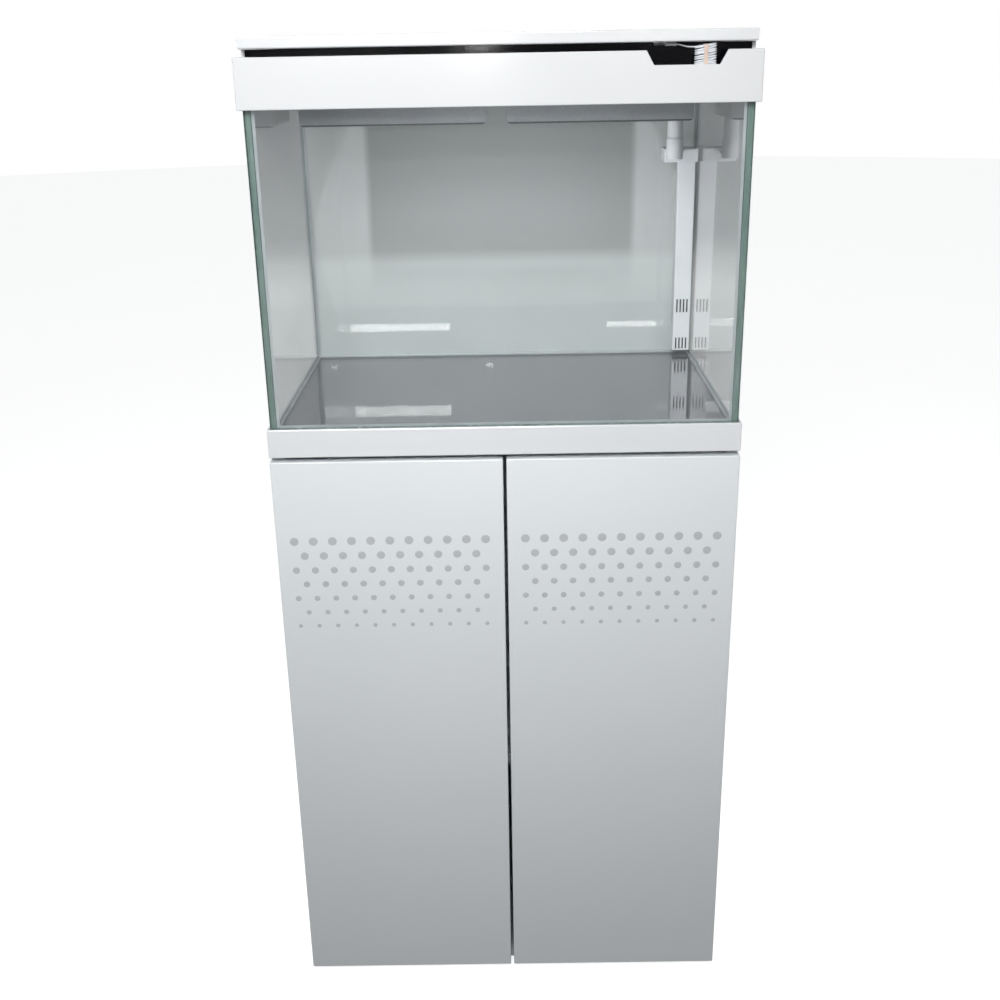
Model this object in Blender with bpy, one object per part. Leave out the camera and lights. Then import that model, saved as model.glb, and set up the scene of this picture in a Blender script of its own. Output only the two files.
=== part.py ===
"""Aquarium on a two-door cabinet, with a hood, two overhead filter trays, a corner pump and a light.

Metres, +Z up, front towards -Y. The origin is on the floor, under the middle of the cabinet.
"""
import math

import bmesh
import bpy
from mathutils import Matrix, Vector

# ------------------------------------------------------------------ driving dimensions (metres)
FIT = 0.0003                    # gap between pieces that touch

WIDTH = 0.600                   # cabinet, doors and base trim
DEPTH = 0.400
CABINET_TOP = 0.8129            # top edge of the side boards

GLIDE_HEIGHT = 0.005
GLIDE_RADIUS = 0.015
GLIDE_FOOT_RADIUS = 0.0135      # where the glide meets the floor
GLIDE_FOOT_RISE = 0.0015
GLIDE_INSET = 0.045             # glide centre from the outside of the cabinet

SIDE_BOARD = 0.016
BOTTOM_BOARD = 0.018
TOP_BOARD = 0.018
BACK_BOARD = 0.008
BACK_INSET = 0.002              # back board in from the rear edges of the sides
SHELF_BOARD = 0.016
SHELF_HEIGHT = 0.330
SHELF_SETBACK = 0.022           # shelf front behind the front edges of the sides
BOARD_EDGE = 0.0008             # softened board edges

HOSE_HOLE_WIDTH = 0.110
HOSE_HOLE_HEIGHT = 0.064
HOSE_HOLE_RADIUS = 0.012
HOSE_HOLE_FROM_SIDE = 0.120     # hole centre from the right side of the cabinet
HOSE_HOLE_BELOW_TOP = 0.085     # hole centre below the top edge of the sides

DOOR_THICKNESS = 0.016
DOOR_BOTTOM = 0.007             # above the floor
DOOR_HEAD_GAP = 0.0062          # under the base trim
DOOR_CENTRE_GAP = 0.0043
DOOR_BACK_GAP = 0.003           # behind the doors, to the side boards
DOOR_EDGE = 0.0012

HINGE_INSET = 0.006             # swing axis in from the door's outer edge
HINGE_FROM_END = 0.095          # hinge height from the door's top and bottom
CUP_FROM_EDGE = 0.0225
CUP_RADIUS = 0.0175
CUP_DEPTH = 0.0115
CUP_WALL = 0.002
CUP_FLANGE = 0.0012
CUP_FLANGE_RADIUS = 0.0195
CUP_EAR_HALF_WIDTH = 0.008
CUP_EAR_REACH = 0.031
CUP_EAR_CORNER = 0.0048
CUP_FLOOR = 0.001
ARM_PIVOT_IN = 0.0205           # from the outside of the cabinet
ARM_PIVOT_SUNK = 0.001          # pivot in front of the doors' backs, inside the cup
ARM_THICKNESS = 0.0044
ARM_HALF_HEIGHT = 0.0075
ARM_LENGTH = 0.072
ARM_FORK_LENGTH = 0.010
PLATE_THICKNESS = 0.002
PLATE_HALF_HEIGHT = 0.022
PLATE_LENGTH = 0.045
LINK_LENGTH = 0.0145
LINK_RADIUS = 0.0015
LINK_ANGLE = math.radians(30)   # from the cabinet's width, towards the front
LINK_HALF_HEIGHT = 0.005
LINK_PIN_RADIUS = 0.0010
LINK_PIN_PLAY = 0.0003

LATCH_WIDTH = 0.014
LATCH_HEIGHT = 0.020
LATCH_LENGTH = 0.070
LATCH_FROM_CENTRE = 0.029
LATCH_EDGE = 0.0008
LATCH_AXIS_UP = 0.00672         # plunger axis above the latch's lower face
PLUNGER_RADIUS = 0.0042
PLUNGER_LENGTH = 0.050
PLUNGER_TIP_RADIUS = 0.00336
PLUNGER_TIP = 0.0008
PLUNGER_PLAY = 0.0004
PLUNGER_TRAVEL = 0.0025

TRIM_HEIGHT = 0.037
TRIM_WALL = 0.003
TRIM_EDGE = 0.0010
MAT_THICKNESS = 0.008

TANK_INSET = 0.004              # glass in from the faces of the trim
GLASS = 0.008
BASE_GLASS = 0.010
TANK_WALL_HEIGHT = 0.3999
GLASS_EDGE = 0.0005
SEAM_LEG = 0.0045
FILM = 0.0006
FILM_MARGIN = 0.0005

SURROUND_OVERHANG = 0.002       # beyond the cabinet on every side
SURROUND_WALL = 0.003
SURROUND_HEIGHT = 0.0576
SURROUND_DROP = 0.0151          # below the top of the glass
SURROUND_EDGE = 0.0012
LEDGE_THICKNESS = 0.0025
LEDGE_SIDE = 0.014
LEDGE_REAR = 0.014
LEDGE_FRONT = 0.029
NOTCH_FROM_SIDE = 0.0875        # notch centre from the right side of the surround
NOTCH_TOP_WIDTH = 0.093
NOTCH_BOTTOM_WIDTH = 0.075
NOTCH_DEPTH = 0.016
NOTCH_RADIUS = 0.0015

RISER_SETBACK = 0.025           # front of the riser behind the front of the surround
RISER_FRONT_PANEL = 0.003
RISER_SIDE_PANEL = 0.004
LEAD_NOTCH_FROM_SIDE = 0.110    # lead notch centre from the lid's right side
LEAD_NOTCH_WIDTH = 0.015
LEAD_NOTCH_DEPTH = 0.003
LEAD_NOTCH_CORNER = 0.001

LID_GAP = 0.0085                # lid above the surround
LID_THICKNESS = 0.0135
LID_WALL = 0.003
LID_TOP_EDGE = 0.0012
LID_BOTTOM_EDGE = 0.0022
LID_HINGE_FROM_CENTRE = 0.190
LID_HINGE_BEHIND = 0.0032       # hinge axis behind the lid
LID_HINGE_DROP = 0.0005         # hinge axis below the lid
KNUCKLE_RADIUS = 0.0024
KNUCKLE_LENGTH = 0.016
KNUCKLE_PLAY = 0.0005
LID_PIN_RADIUS = 0.0012
LID_PIN_PLAY = 0.0003
LID_LUG_HEIGHT = 0.0035
LID_LUG_RISE = 0.0007           # lug's underside above the lid's
LID_LUG_REACH = 0.0019          # lugs past the hinge axis, within their knuckles
FRAME_LUG_REACH = 0.0012
FRAME_LUG_DROP = 0.0055

LAMP_SETBACK = 0.024            # lamp behind the riser
LAMP_DEPTH = 0.040
LAMP_HEIGHT = 0.012
LAMP_WALL = 0.003
LAMP_END = 0.021                # solid ends that stand on the ledge
LAMP_EDGE = 0.0015
LENS_THICKNESS = 0.003
GLAND_FROM_SIDE = 0.122         # gland from the lid's right side
GLAND_LENGTH = 0.008
GLAND_COLLAR = 0.0025           # straight part against the lamp
GLAND_SHOULDER = 0.001
GLAND_RADIUS = 0.0032
GLAND_NECK_RADIUS = 0.00225
GLAND_TIP_RADIUS = 0.0018

TRAY_DEPTH = 0.1265
TRAY_DROP = 0.049               # tray bottom below the top of the glass
TRAY_WALL = 0.002
TRAY_CORNER = 0.006
TRAY_GAP = 0.027                # between the trays
TRAY_GAP_OFFSET = -0.004        # middle of that gap from the middle of the tank
TRAY_END_CLEARANCE = 0.0205     # tray end to the side glass
TRAY_BACK_CLEARANCE = 0.0005
TRAY_FLANGE = 0.002
TRAY_REAR_FLANGE = 0.0065
TRAY_FRONT_FLANGE = 0.012
DRAIN_COUNT = 7
DRAIN_WIDTH = 0.003
DRAIN_LENGTH = 0.028
DRAIN_PITCH = 0.008
DRAIN_FROM_END = 0.020
PAD_HEIGHT = 0.026
PAD_CLEARANCE = 0.002
PAD_EDGE = 0.003
RAIL_WIDTH = 0.014
RAIL_HEIGHT = 0.006
RAIL_GAP = 0.002                # rail in front of the trays
RAIL_TAB = 0.002
RAIL_TAB_LENGTH = 0.012

COLUMN_WIDTH = 0.0255
COLUMN_DEPTH = 0.0168
COLUMN_WALL = 0.0015
COLUMN_SIDE_CLEARANCE = 0.0025  # to the side glass
COLUMN_BACK_CLEARANCE = 0.0032  # to the back glass
COLUMN_FOOT = 0.007             # above the base glass
COLUMN_EDGE = 0.0012
SLOT_COUNT = 4
SLOT_WIDTH = 0.0022
SLOT_PITCH = 0.0050
SLOT_LOW_BOTTOM = 0.010         # slots above the base glass
SLOT_LOW_LENGTH = 0.017
SLOT_HIGH_BOTTOM = 0.066
SLOT_HIGH_LENGTH = 0.020

PUMP_TOP_DROP = 0.092           # pump top below the top of the glass
PUMP_HEIGHT = 0.019
PUMP_WIDTH = 0.049
PUMP_DEPTH = 0.041
PUMP_EDGE = 0.0015
CHAMBER_RADIUS = 0.0082
CHAMBER_HEIGHT = 0.011
CHAMBER_MOUTH_RADIUS = 0.005
CHAMBER_WALL = 0.002            # behind the chamber
CHANNEL_RADIUS = 0.0035
CHANNEL_RISE = 0.0005           # channel above the socket's floor
PIPE_FROM_SIDE = 0.0395         # pipe axis from the side glass
PIPE_FROM_BACK = 0.060          # pipe axis from the back glass
SOCKET_RADIUS = 0.0118
SOCKET_RISE = 0.0155            # socket top above the pump's top
SOCKET_DROP = 0.0125            # socket bottom below the pump's top
SOCKET_FLOOR = 0.003
NECK_HALF_WIDTH = 0.00826       # neck between the pump and its socket
PIPE_RADIUS = 0.0110
SPIGOT_RADIUS = 0.0088
SPIGOT_PLAY = 0.0004
PIPE_BORE = 0.0070
PIPE_TOP_IN_TRAY = 0.030        # pipe end above the tray's floor
SPIGOT_DEPTH = 0.018

ROTOR_RADIUS = 0.0068
ROTOR_HUB_RADIUS = 0.0022
ROTOR_HEIGHT = 0.008
BLADE_THICKNESS = 0.0012
BLADE_COUNT = 4
BLADE_END_INSET = 0.0005        # blades shorter than the hub at each end

LEAD_DIAMETER = 0.0016
LEAD_POINT_SPACING = 0.0035
ROUTE_PARTS = 24                # steps of the curve for each stretch of the route
HANK_CENTRE = (0.2370, -0.1880)
HANK_LENGTH = 0.0260
HANK_BEND = 0.0048              # radius of the folds, at the middle of the lead
HANK_BOTTOM = 1.2531
HANK_TOP = 1.3003
CLIP_FIRST = 0.1950             # first saddle along the width
CLIP_PITCH = 0.0070
CLIP_COUNT = 2
SADDLE_RADIUS = 0.0021
SADDLE_LENGTH = 0.0030
CLIP_STRIP = 0.0008
CLIP_MARGIN = 0.0030
CLIP_HALF_HEIGHT = 0.0019
CONNECTOR_START = 0.2620
CONNECTOR_RELIEF = 0.0060
CONNECTOR_BODY = 0.0200
CONNECTOR_BARREL = 0.0085
CONNECTOR_RADIUS = 0.0045
BARREL_RADIUS = 0.00275
RELIEF_TIP_RADIUS = 0.0016
RELIEF_RADIUS = 0.0024
RELIEF_SHOULDER = 0.0012
CONNECTOR_EDGE = 0.0008

LEAD_ROUTE = [
    (0.1740, -0.1586, 1.2591), (0.1740, -0.1630, 1.2592), (0.1742, -0.1674, 1.2608),
    (0.1746, -0.1706, 1.2644), (0.1752, -0.1722, 1.2695), (0.1760, -0.1726, 1.2760),
    (0.1768, -0.1726, 1.2830), (0.1778, -0.1726, 1.2895), (0.1794, -0.1726, 1.2946),
    (0.1819, -0.1728, 1.2982), (0.1848, -0.1745, 1.3001), (0.1878, -0.1771, 1.3003),
    (0.1908, -0.1793, 1.2993), (0.1938, -0.1800, 1.2986), (0.1985, -0.1800, 1.2986),
    (0.2032, -0.1800, 1.2986), (0.2080, -0.1802, 1.2980), (0.2130, -0.1810, 1.2966),
    (0.2185, -0.1822, 1.2956), (0.2254, -0.1832, 1.2954)]
TAIL_ROUTE = [
    (0.2484, -0.1832, 1.2541), (0.2515, -0.1834, 1.2542), (0.2550, -0.1845, 1.2553),
    (0.2582, -0.1855, 1.2568), (0.2617, -0.1860, 1.2576)]

# ------------------------------------------------------------------ places that follow from them
RIGHT = WIDTH / 2
FRONT = -DEPTH / 2
REAR = DEPTH / 2
DOOR_BACK = FRONT + DOOR_THICKNESS
BOARD_FRONT = DOOR_BACK + DOOR_BACK_GAP
BOARD_BOTTOM = GLIDE_HEIGHT + FIT
INNER_RIGHT = RIGHT - SIDE_BOARD
BACK_BOARD_FRONT = REAR - BACK_INSET - BACK_BOARD

TRIM_BOTTOM = CABINET_TOP + FIT
TRIM_TOP = TRIM_BOTTOM + TRIM_HEIGHT
DOOR_TOP = TRIM_BOTTOM - DOOR_HEAD_GAP
MAT_BOTTOM = TRIM_BOTTOM + TOP_BOARD + FIT
BASE_BOTTOM = MAT_BOTTOM + MAT_THICKNESS + FIT
BASE_TOP = BASE_BOTTOM + BASE_GLASS
WALL_BOTTOM = BASE_TOP + FIT
TANK_TOP = WALL_BOTTOM + TANK_WALL_HEIGHT
TANK_RIGHT = RIGHT - TANK_INSET
TANK_REAR = REAR - TANK_INSET
GLASS_RIGHT = TANK_RIGHT - GLASS        # inner faces of the tank
GLASS_REAR = TANK_REAR - GLASS

SURROUND_RIGHT = RIGHT + SURROUND_OVERHANG
SURROUND_REAR = REAR + SURROUND_OVERHANG
SURROUND_BOTTOM = TANK_TOP - SURROUND_DROP
SURROUND_TOP = SURROUND_BOTTOM + SURROUND_HEIGHT
LEDGE_BOTTOM = TANK_TOP + FIT
LEDGE_TOP = LEDGE_BOTTOM + LEDGE_THICKNESS
LEDGE_RIGHT = SURROUND_RIGHT - SURROUND_WALL - LEDGE_SIDE
LEDGE_BACK = SURROUND_REAR - SURROUND_WALL - LEDGE_REAR
LEDGE_NEAR = -SURROUND_REAR + SURROUND_WALL + LEDGE_FRONT
ON_LEDGE = LEDGE_TOP + FIT

LID_BOTTOM = SURROUND_TOP + LID_GAP
LID_TOP = LID_BOTTOM + LID_THICKNESS
RISER_FRONT = -SURROUND_REAR + RISER_SETBACK
RISER_BACK = RISER_FRONT + RISER_FRONT_PANEL
RISER_TOP = LID_BOTTOM - FIT
HINGE_Y = TANK_REAR + LID_HINGE_BEHIND
HINGE_Z = LID_BOTTOM - LID_HINGE_DROP

TRAY_WIDTH = (2 * GLASS_RIGHT - 2 * TRAY_END_CLEARANCE - TRAY_GAP) / 2
TRAY_BACK = LEDGE_BACK - TRAY_BACK_CLEARANCE
TRAY_FRONT = TRAY_BACK - TRAY_DEPTH
TRAY_BOTTOM = TANK_TOP - TRAY_DROP
TRAY_FLOOR = TRAY_BOTTOM + TRAY_WALL
TRAY_TOP = ON_LEDGE + TRAY_FLANGE

PIPE_X = GLASS_RIGHT - PIPE_FROM_SIDE
PIPE_Y = GLASS_REAR - PIPE_FROM_BACK
COLUMN_RIGHT = GLASS_RIGHT - COLUMN_SIDE_CLEARANCE
COLUMN_BACK = GLASS_REAR - COLUMN_BACK_CLEARANCE
COLUMN_LEFT = COLUMN_RIGHT - COLUMN_WIDTH
COLUMN_FRONT = COLUMN_BACK - COLUMN_DEPTH
PUMP_TOP = TANK_TOP - PUMP_TOP_DROP
PUMP_BOTTOM = PUMP_TOP - PUMP_HEIGHT
PUMP_LEFT = COLUMN_RIGHT - PUMP_WIDTH
PUMP_FRONT = COLUMN_BACK - PUMP_DEPTH
SOCKET_TOP = PUMP_TOP + SOCKET_RISE
SOCKET_BOTTOM = PUMP_TOP - SOCKET_DROP
ROTOR_X = (COLUMN_LEFT + COLUMN_RIGHT) / 2
ROTOR_Y = COLUMN_BACK - CHAMBER_WALL - CHAMBER_RADIUS
CHAMBER_BOTTOM = PUMP_BOTTOM + (PUMP_HEIGHT - CHAMBER_HEIGHT) / 2

ROUND = 32                      # sides of a large cylinder
SMALL_ROUND = 16


# ------------------------------------------------------------------ modelling helpers
def clear_scene():
    for item in list(bpy.data.objects):
        bpy.data.objects.remove(item, do_unlink=True)


def material(name, colour, roughness, metallic=0.0, transmission=0.0):
    made = bpy.data.materials.new(name)
    made.use_nodes = True
    shader = made.node_tree.nodes["Principled BSDF"]
    shader.inputs["Base Color"].default_value = (*colour, 1.0)
    shader.inputs["Roughness"].default_value = roughness
    shader.inputs["Metallic"].default_value = metallic
    shader.inputs["Transmission Weight"].default_value = transmission
    made.diffuse_color = (*colour, 1.0)
    return made


def add_object(name, shape, finish=None, origin=(0, 0, 0), smooth_angle=None):
    """Turn a bmesh in world coordinates into an object whose origin is at the given point."""
    bmesh.ops.recalc_face_normals(shape, faces=shape.faces)
    bmesh.ops.translate(shape, verts=shape.verts, vec=-Vector(origin))
    mesh = bpy.data.meshes.new(name)
    shape.to_mesh(mesh)
    shape.free()
    made = bpy.data.objects.new(name, mesh)
    made.location = origin
    bpy.context.scene.collection.objects.link(made)
    if finish:
        mesh.materials.append(finish)
    if smooth_angle:
        mesh.shade_smooth()
        mesh.set_sharp_from_angle(angle=math.radians(smooth_angle))
    return made


def box_shape(low, high):
    low = Vector(low)
    high = Vector(high)
    shape = bmesh.new()
    bmesh.ops.create_cube(shape, size=1.0)
    size = high - low
    bmesh.ops.transform(shape, verts=shape.verts,
                        matrix=Matrix.Translation((low + high) / 2) @ Matrix.Diagonal((*size, 1.0)))
    return shape


def box(name, low, high, finish=None, origin=(0, 0, 0), edge=0.0, steps=1):
    made = add_object(name, box_shape(low, high), finish, origin)
    if edge:
        soften(made, edge, steps)
    return made


def soften(target, width, steps=1, angle=50):
    bevel = target.modifiers.new("edge", "BEVEL")
    bevel.width = width
    bevel.segments = steps
    bevel.limit_method = "ANGLE"
    bevel.angle_limit = math.radians(angle)
    bevel.use_clamp_overlap = True


def prism_shape(outline, axis, start, end):
    """Extrude a closed outline along an axis. Its two coordinates are the other axes, in order."""
    places = {"X": lambda a, b, c: (c, a, b), "Y": lambda a, b, c: (a, c, b),
              "Z": lambda a, b, c: (a, b, c)}
    place = places[axis]
    shape = bmesh.new()
    lower = [shape.verts.new(place(a, b, start)) for a, b in outline]
    upper = [shape.verts.new(place(a, b, end)) for a, b in outline]
    shape.faces.new(lower)
    shape.faces.new(upper)
    count = len(outline)
    for index in range(count):
        after = (index + 1) % count
        shape.faces.new((lower[index], lower[after], upper[after], upper[index]))
    return shape


def circle_outline(centre, radius, sides):
    return [(centre[0] + radius * math.cos(math.tau * index / sides),
             centre[1] + radius * math.sin(math.tau * index / sides)) for index in range(sides)]


def rounded_outline(low, high, radius, steps=4):
    corners = [(high[0] - radius, high[1] - radius, 0), (low[0] + radius, high[1] - radius, 90),
               (low[0] + radius, low[1] + radius, 180), (high[0] - radius, low[1] + radius, 270)]
    points = []
    for centre_a, centre_b, start in corners:
        for step in range(steps + 1):
            angle = math.radians(start + 90 * step / steps)
            points.append((centre_a + radius * math.cos(angle), centre_b + radius * math.sin(angle)))
    return points


def capsule_outline(first, second, radius, steps=6):
    heading = math.atan2(second[1] - first[1], second[0] - first[0])
    points = []
    for centre, start in ((second, heading - math.pi / 2), (first, heading + math.pi / 2)):
        for step in range(steps + 1):
            angle = start + math.pi * step / steps
            points.append((centre[0] + radius * math.cos(angle), centre[1] + radius * math.sin(angle)))
    return points


def cylinder_shape(centre, radius, axis, start, end, sides=ROUND):
    return prism_shape(circle_outline(centre, radius, sides), axis, start, end)


def tapered_shape(sections, axis, centre, sides=SMALL_ROUND):
    """Closed round solid through (place along the axis, radius) sections."""
    places = {"X": lambda a, b, c: (c, a, b), "Y": lambda a, b, c: (a, c, b),
              "Z": lambda a, b, c: (a, b, c)}
    shape = bmesh.new()
    rings = []
    for along, radius in sections:
        rings.append([shape.verts.new(places[axis](a, b, along))
                      for a, b in circle_outline(centre, radius, sides)])
    shape.faces.new(rings[0])
    shape.faces.new(rings[-1])
    for first, second in zip(rings, rings[1:]):
        for index in range(sides):
            after = (index + 1) % sides
            shape.faces.new((first[index], first[after], second[after], second[index]))
    return shape


def combine(target, shape, operation, name):
    """Cut or add a shape with an exact Boolean. The hidden tool stays with its target."""
    tool = add_object(target.name + "_" + name, shape)
    tool.parent = target
    tool.location = -target.location
    tool.hide_render = True
    tool.display_type = "WIRE"
    modifier = target.modifiers.new(name, "BOOLEAN")
    modifier.operation = operation
    modifier.object = tool
    modifier.solver = "EXACT"


def cut(target, shape, name):
    combine(target, shape, "DIFFERENCE", name)


def add(target, shape, name):
    combine(target, shape, "UNION", name)


def axis_empty(name, place):
    made = bpy.data.objects.new(name, None)
    made.location = place
    made.empty_display_size = 0.03
    bpy.context.scene.collection.objects.link(made)
    return made


def hold(parent, child):
    child.location = Vector(child.location) - Vector(parent.location)
    child.parent = parent


# ------------------------------------------------------------------ cabinet
def make_cabinet(board, plastic):
    for name, side in (("left_side", -1), ("right_side", 1)):
        edges = sorted((side * INNER_RIGHT, side * RIGHT))
        box(name, (edges[0], BOARD_FRONT, BOARD_BOTTOM), (edges[1], REAR, CABINET_TOP), board,
            edge=BOARD_EDGE)
    inner = INNER_RIGHT - FIT
    bottom_top = BOARD_BOTTOM + BOTTOM_BOARD
    box("bottom_board", (-inner, BOARD_FRONT, BOARD_BOTTOM), (inner, REAR, bottom_top), board,
        edge=BOARD_EDGE)
    shelf_front = BOARD_FRONT + SHELF_SETBACK
    box("shelf", (-inner, shelf_front, SHELF_HEIGHT),
        (inner, BACK_BOARD_FRONT - FIT, SHELF_HEIGHT + SHELF_BOARD), board, edge=BOARD_EDGE)
    make_back_panel(board, inner, bottom_top + FIT)
    board_right = RIGHT - TRIM_WALL - FIT
    board_rear = REAR - TRIM_WALL - FIT
    box("top_board", (-board_right, -board_rear, TRIM_BOTTOM),
        (board_right, board_rear, TRIM_BOTTOM + TOP_BOARD), board, edge=BOARD_EDGE)
    for row, y in (("front", BOARD_FRONT + GLIDE_INSET), ("rear", REAR - GLIDE_INSET)):
        for column, x in (("left", -RIGHT + GLIDE_INSET), ("right", RIGHT - GLIDE_INSET)):
            sections = [(0.0, GLIDE_FOOT_RADIUS), (GLIDE_FOOT_RISE, GLIDE_RADIUS),
                        (GLIDE_HEIGHT, GLIDE_RADIUS)]
            add_object(f"glide_{row}_{column}", tapered_shape(sections, "Z", (x, y), 24), plastic)


def make_back_panel(board, inner, bottom):
    panel = box("back_panel", (-inner, BACK_BOARD_FRONT, bottom),
                (inner, BACK_BOARD_FRONT + BACK_BOARD, CABINET_TOP), board)
    centre_x = RIGHT - HOSE_HOLE_FROM_SIDE
    centre_z = CABINET_TOP - HOSE_HOLE_BELOW_TOP
    outline = rounded_outline((centre_x - HOSE_HOLE_WIDTH / 2, centre_z - HOSE_HOLE_HEIGHT / 2),
                              (centre_x + HOSE_HOLE_WIDTH / 2, centre_z + HOSE_HOLE_HEIGHT / 2),
                              HOSE_HOLE_RADIUS)
    cut(panel, prism_shape(outline, "Y", BACK_BOARD_FRONT - BACK_BOARD, REAR + BACK_BOARD), "hose_hole")


# ------------------------------------------------------------------ doors and their hinges
def make_doors(board, metal):
    heights = (DOOR_BOTTOM + HINGE_FROM_END, DOOR_TOP - HINGE_FROM_END)
    axis_y = FRONT + DOOR_THICKNESS / 2
    for word, side in (("left", -1), ("right", 1)):
        axis = (side * (RIGHT - HINGE_INSET), axis_y, DOOR_BOTTOM)
        pivot = axis_empty(word + "_door_axis", axis)
        edges = sorted((side * DOOR_CENTRE_GAP / 2, side * RIGHT))
        door = box(word + "_door", (edges[0], FRONT, DOOR_BOTTOM), (edges[1], DOOR_BACK, DOOR_TOP),
                   board, origin=axis, edge=DOOR_EDGE, steps=2)
        cup_x = side * (RIGHT - CUP_FROM_EDGE)
        for level, height in zip(("lower", "upper"), heights):
            bore = cylinder_shape((cup_x, height), CUP_RADIUS + FIT, "Y",
                                  DOOR_BACK - CUP_DEPTH - FIT, DOOR_BACK + CUP_DEPTH)
            cut(door, bore, level + "_bore")
            cup = make_cup(f"{word}_{level}_cup", cup_x, height, metal, axis)
            hold(pivot, cup)
            make_arm(f"{word}_{level}_arm", side, height, metal)
            make_link(f"{word}_{level}_link", side, height, metal)
        hold(pivot, door)


def make_cup(name, x, z, metal, axis):
    """Round hinge cup with a thin flange on the door's back."""
    flange_back = DOOR_BACK + FIT + CUP_FLANGE
    cup = add_object(name, cylinder_shape((x, z), CUP_RADIUS, "Y", DOOR_BACK - CUP_DEPTH, flange_back),
                     metal, axis)
    add(cup, cylinder_shape((x, z), CUP_FLANGE_RADIUS, "Y", DOOR_BACK + FIT, flange_back), "flange")
    ears = rounded_outline((x - CUP_EAR_HALF_WIDTH, z - CUP_EAR_REACH),
                           (x + CUP_EAR_HALF_WIDTH, z + CUP_EAR_REACH), CUP_EAR_CORNER)
    add(cup, prism_shape(ears, "Y", DOOR_BACK + FIT, flange_back), "ears")
    cut(cup, cylinder_shape((x, z), CUP_RADIUS - CUP_WALL, "Y", DOOR_BACK - CUP_DEPTH + CUP_FLOOR,
                            flange_back + CUP_DEPTH), "hollow")
    return cup


def arm_pivot(side):
    return (side * (RIGHT - ARM_PIVOT_IN), DOOR_BACK - ARM_PIVOT_SUNK)


def make_arm(name, side, z, metal):
    """Hinge arm: a plate on the side board, a beam, and a fork that holds the link."""
    pivot_x, pivot_y = arm_pivot(side)
    half = ARM_THICKNESS / 2
    end = pivot_y + ARM_LENGTH
    beam_x = sorted((side * (INNER_RIGHT - FIT - PLATE_THICKNESS / 2), pivot_x - side * half))
    beam_start = pivot_y + half + LINK_RADIUS
    arm = box(name, (beam_x[0], beam_start, z - ARM_HALF_HEIGHT), (beam_x[1], end, z + ARM_HALF_HEIGHT),
              metal)
    plate_x = sorted((side * (INNER_RIGHT - FIT), side * (INNER_RIGHT - FIT - PLATE_THICKNESS)))
    add(arm, box_shape((plate_x[0], end - PLATE_LENGTH, z - PLATE_HALF_HEIGHT),
                       (plate_x[1], end + FIT, z + PLATE_HALF_HEIGHT)), "plate")
    cheek_low = LINK_HALF_HEIGHT + FIT
    for word, direction in (("low", -1), ("high", 1)):
        levels = sorted((z + direction * cheek_low, z + direction * ARM_HALF_HEIGHT))
        cheek = capsule_outline((pivot_x, pivot_y), (pivot_x, pivot_y + ARM_FORK_LENGTH), half)
        add(arm, prism_shape(cheek, "Z", *levels), word + "_cheek")
    cut(arm, cylinder_shape((pivot_x, pivot_y), LINK_PIN_RADIUS + LINK_PIN_PLAY, "Z",
                            z - 2 * ARM_HALF_HEIGHT, z + 2 * ARM_HALF_HEIGHT, SMALL_ROUND), "pin_hole")


def make_link(name, side, z, metal):
    """Hinge link from the arm's fork into the cup, with its pivot pin."""
    start = arm_pivot(side)
    end = (start[0] - side * LINK_LENGTH * math.cos(LINK_ANGLE),
           start[1] - LINK_LENGTH * math.sin(LINK_ANGLE))
    pivot = axis_empty(name + "_axis", (*start, z))
    outline = capsule_outline(start, end, LINK_RADIUS)
    link = add_object(name, prism_shape(outline, "Z", z - LINK_HALF_HEIGHT, z + LINK_HALF_HEIGHT),
                      metal, (*start, z))
    add(link, cylinder_shape(start, LINK_PIN_RADIUS, "Z", z - ARM_HALF_HEIGHT, z + ARM_HALF_HEIGHT,
                             SMALL_ROUND), "pin")
    hold(pivot, link)


def make_latches(plastic, tip):
    """Push-to-open latches under the top board, one behind each door."""
    top = CABINET_TOP
    axis_z = top - LATCH_HEIGHT + LATCH_AXIS_UP
    for word, side in (("left", -1), ("right", 1)):
        x = side * LATCH_FROM_CENTRE
        front = BOARD_FRONT + FIT
        body = box(word + "_latch", (x - LATCH_WIDTH / 2, front, top - LATCH_HEIGHT),
                   (x + LATCH_WIDTH / 2, front + LATCH_LENGTH, top), plastic, edge=LATCH_EDGE)
        start = DOOR_BACK + FIT
        end = start + PLUNGER_LENGTH
        cut(body, cylinder_shape((x, axis_z), PLUNGER_RADIUS + PLUNGER_PLAY, "Y", front - LATCH_WIDTH,
                                 end + PLUNGER_TRAVEL + 2 * FIT, 24), "bore")
        sections = [(start, PLUNGER_TIP_RADIUS), (start + PLUNGER_TIP, PLUNGER_RADIUS),
                    (end, PLUNGER_RADIUS)]
        add_object(word + "_plunger", tapered_shape(sections, "Y", (x, axis_z), 24), tip,
                   (x, start, axis_z), 40)


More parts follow.
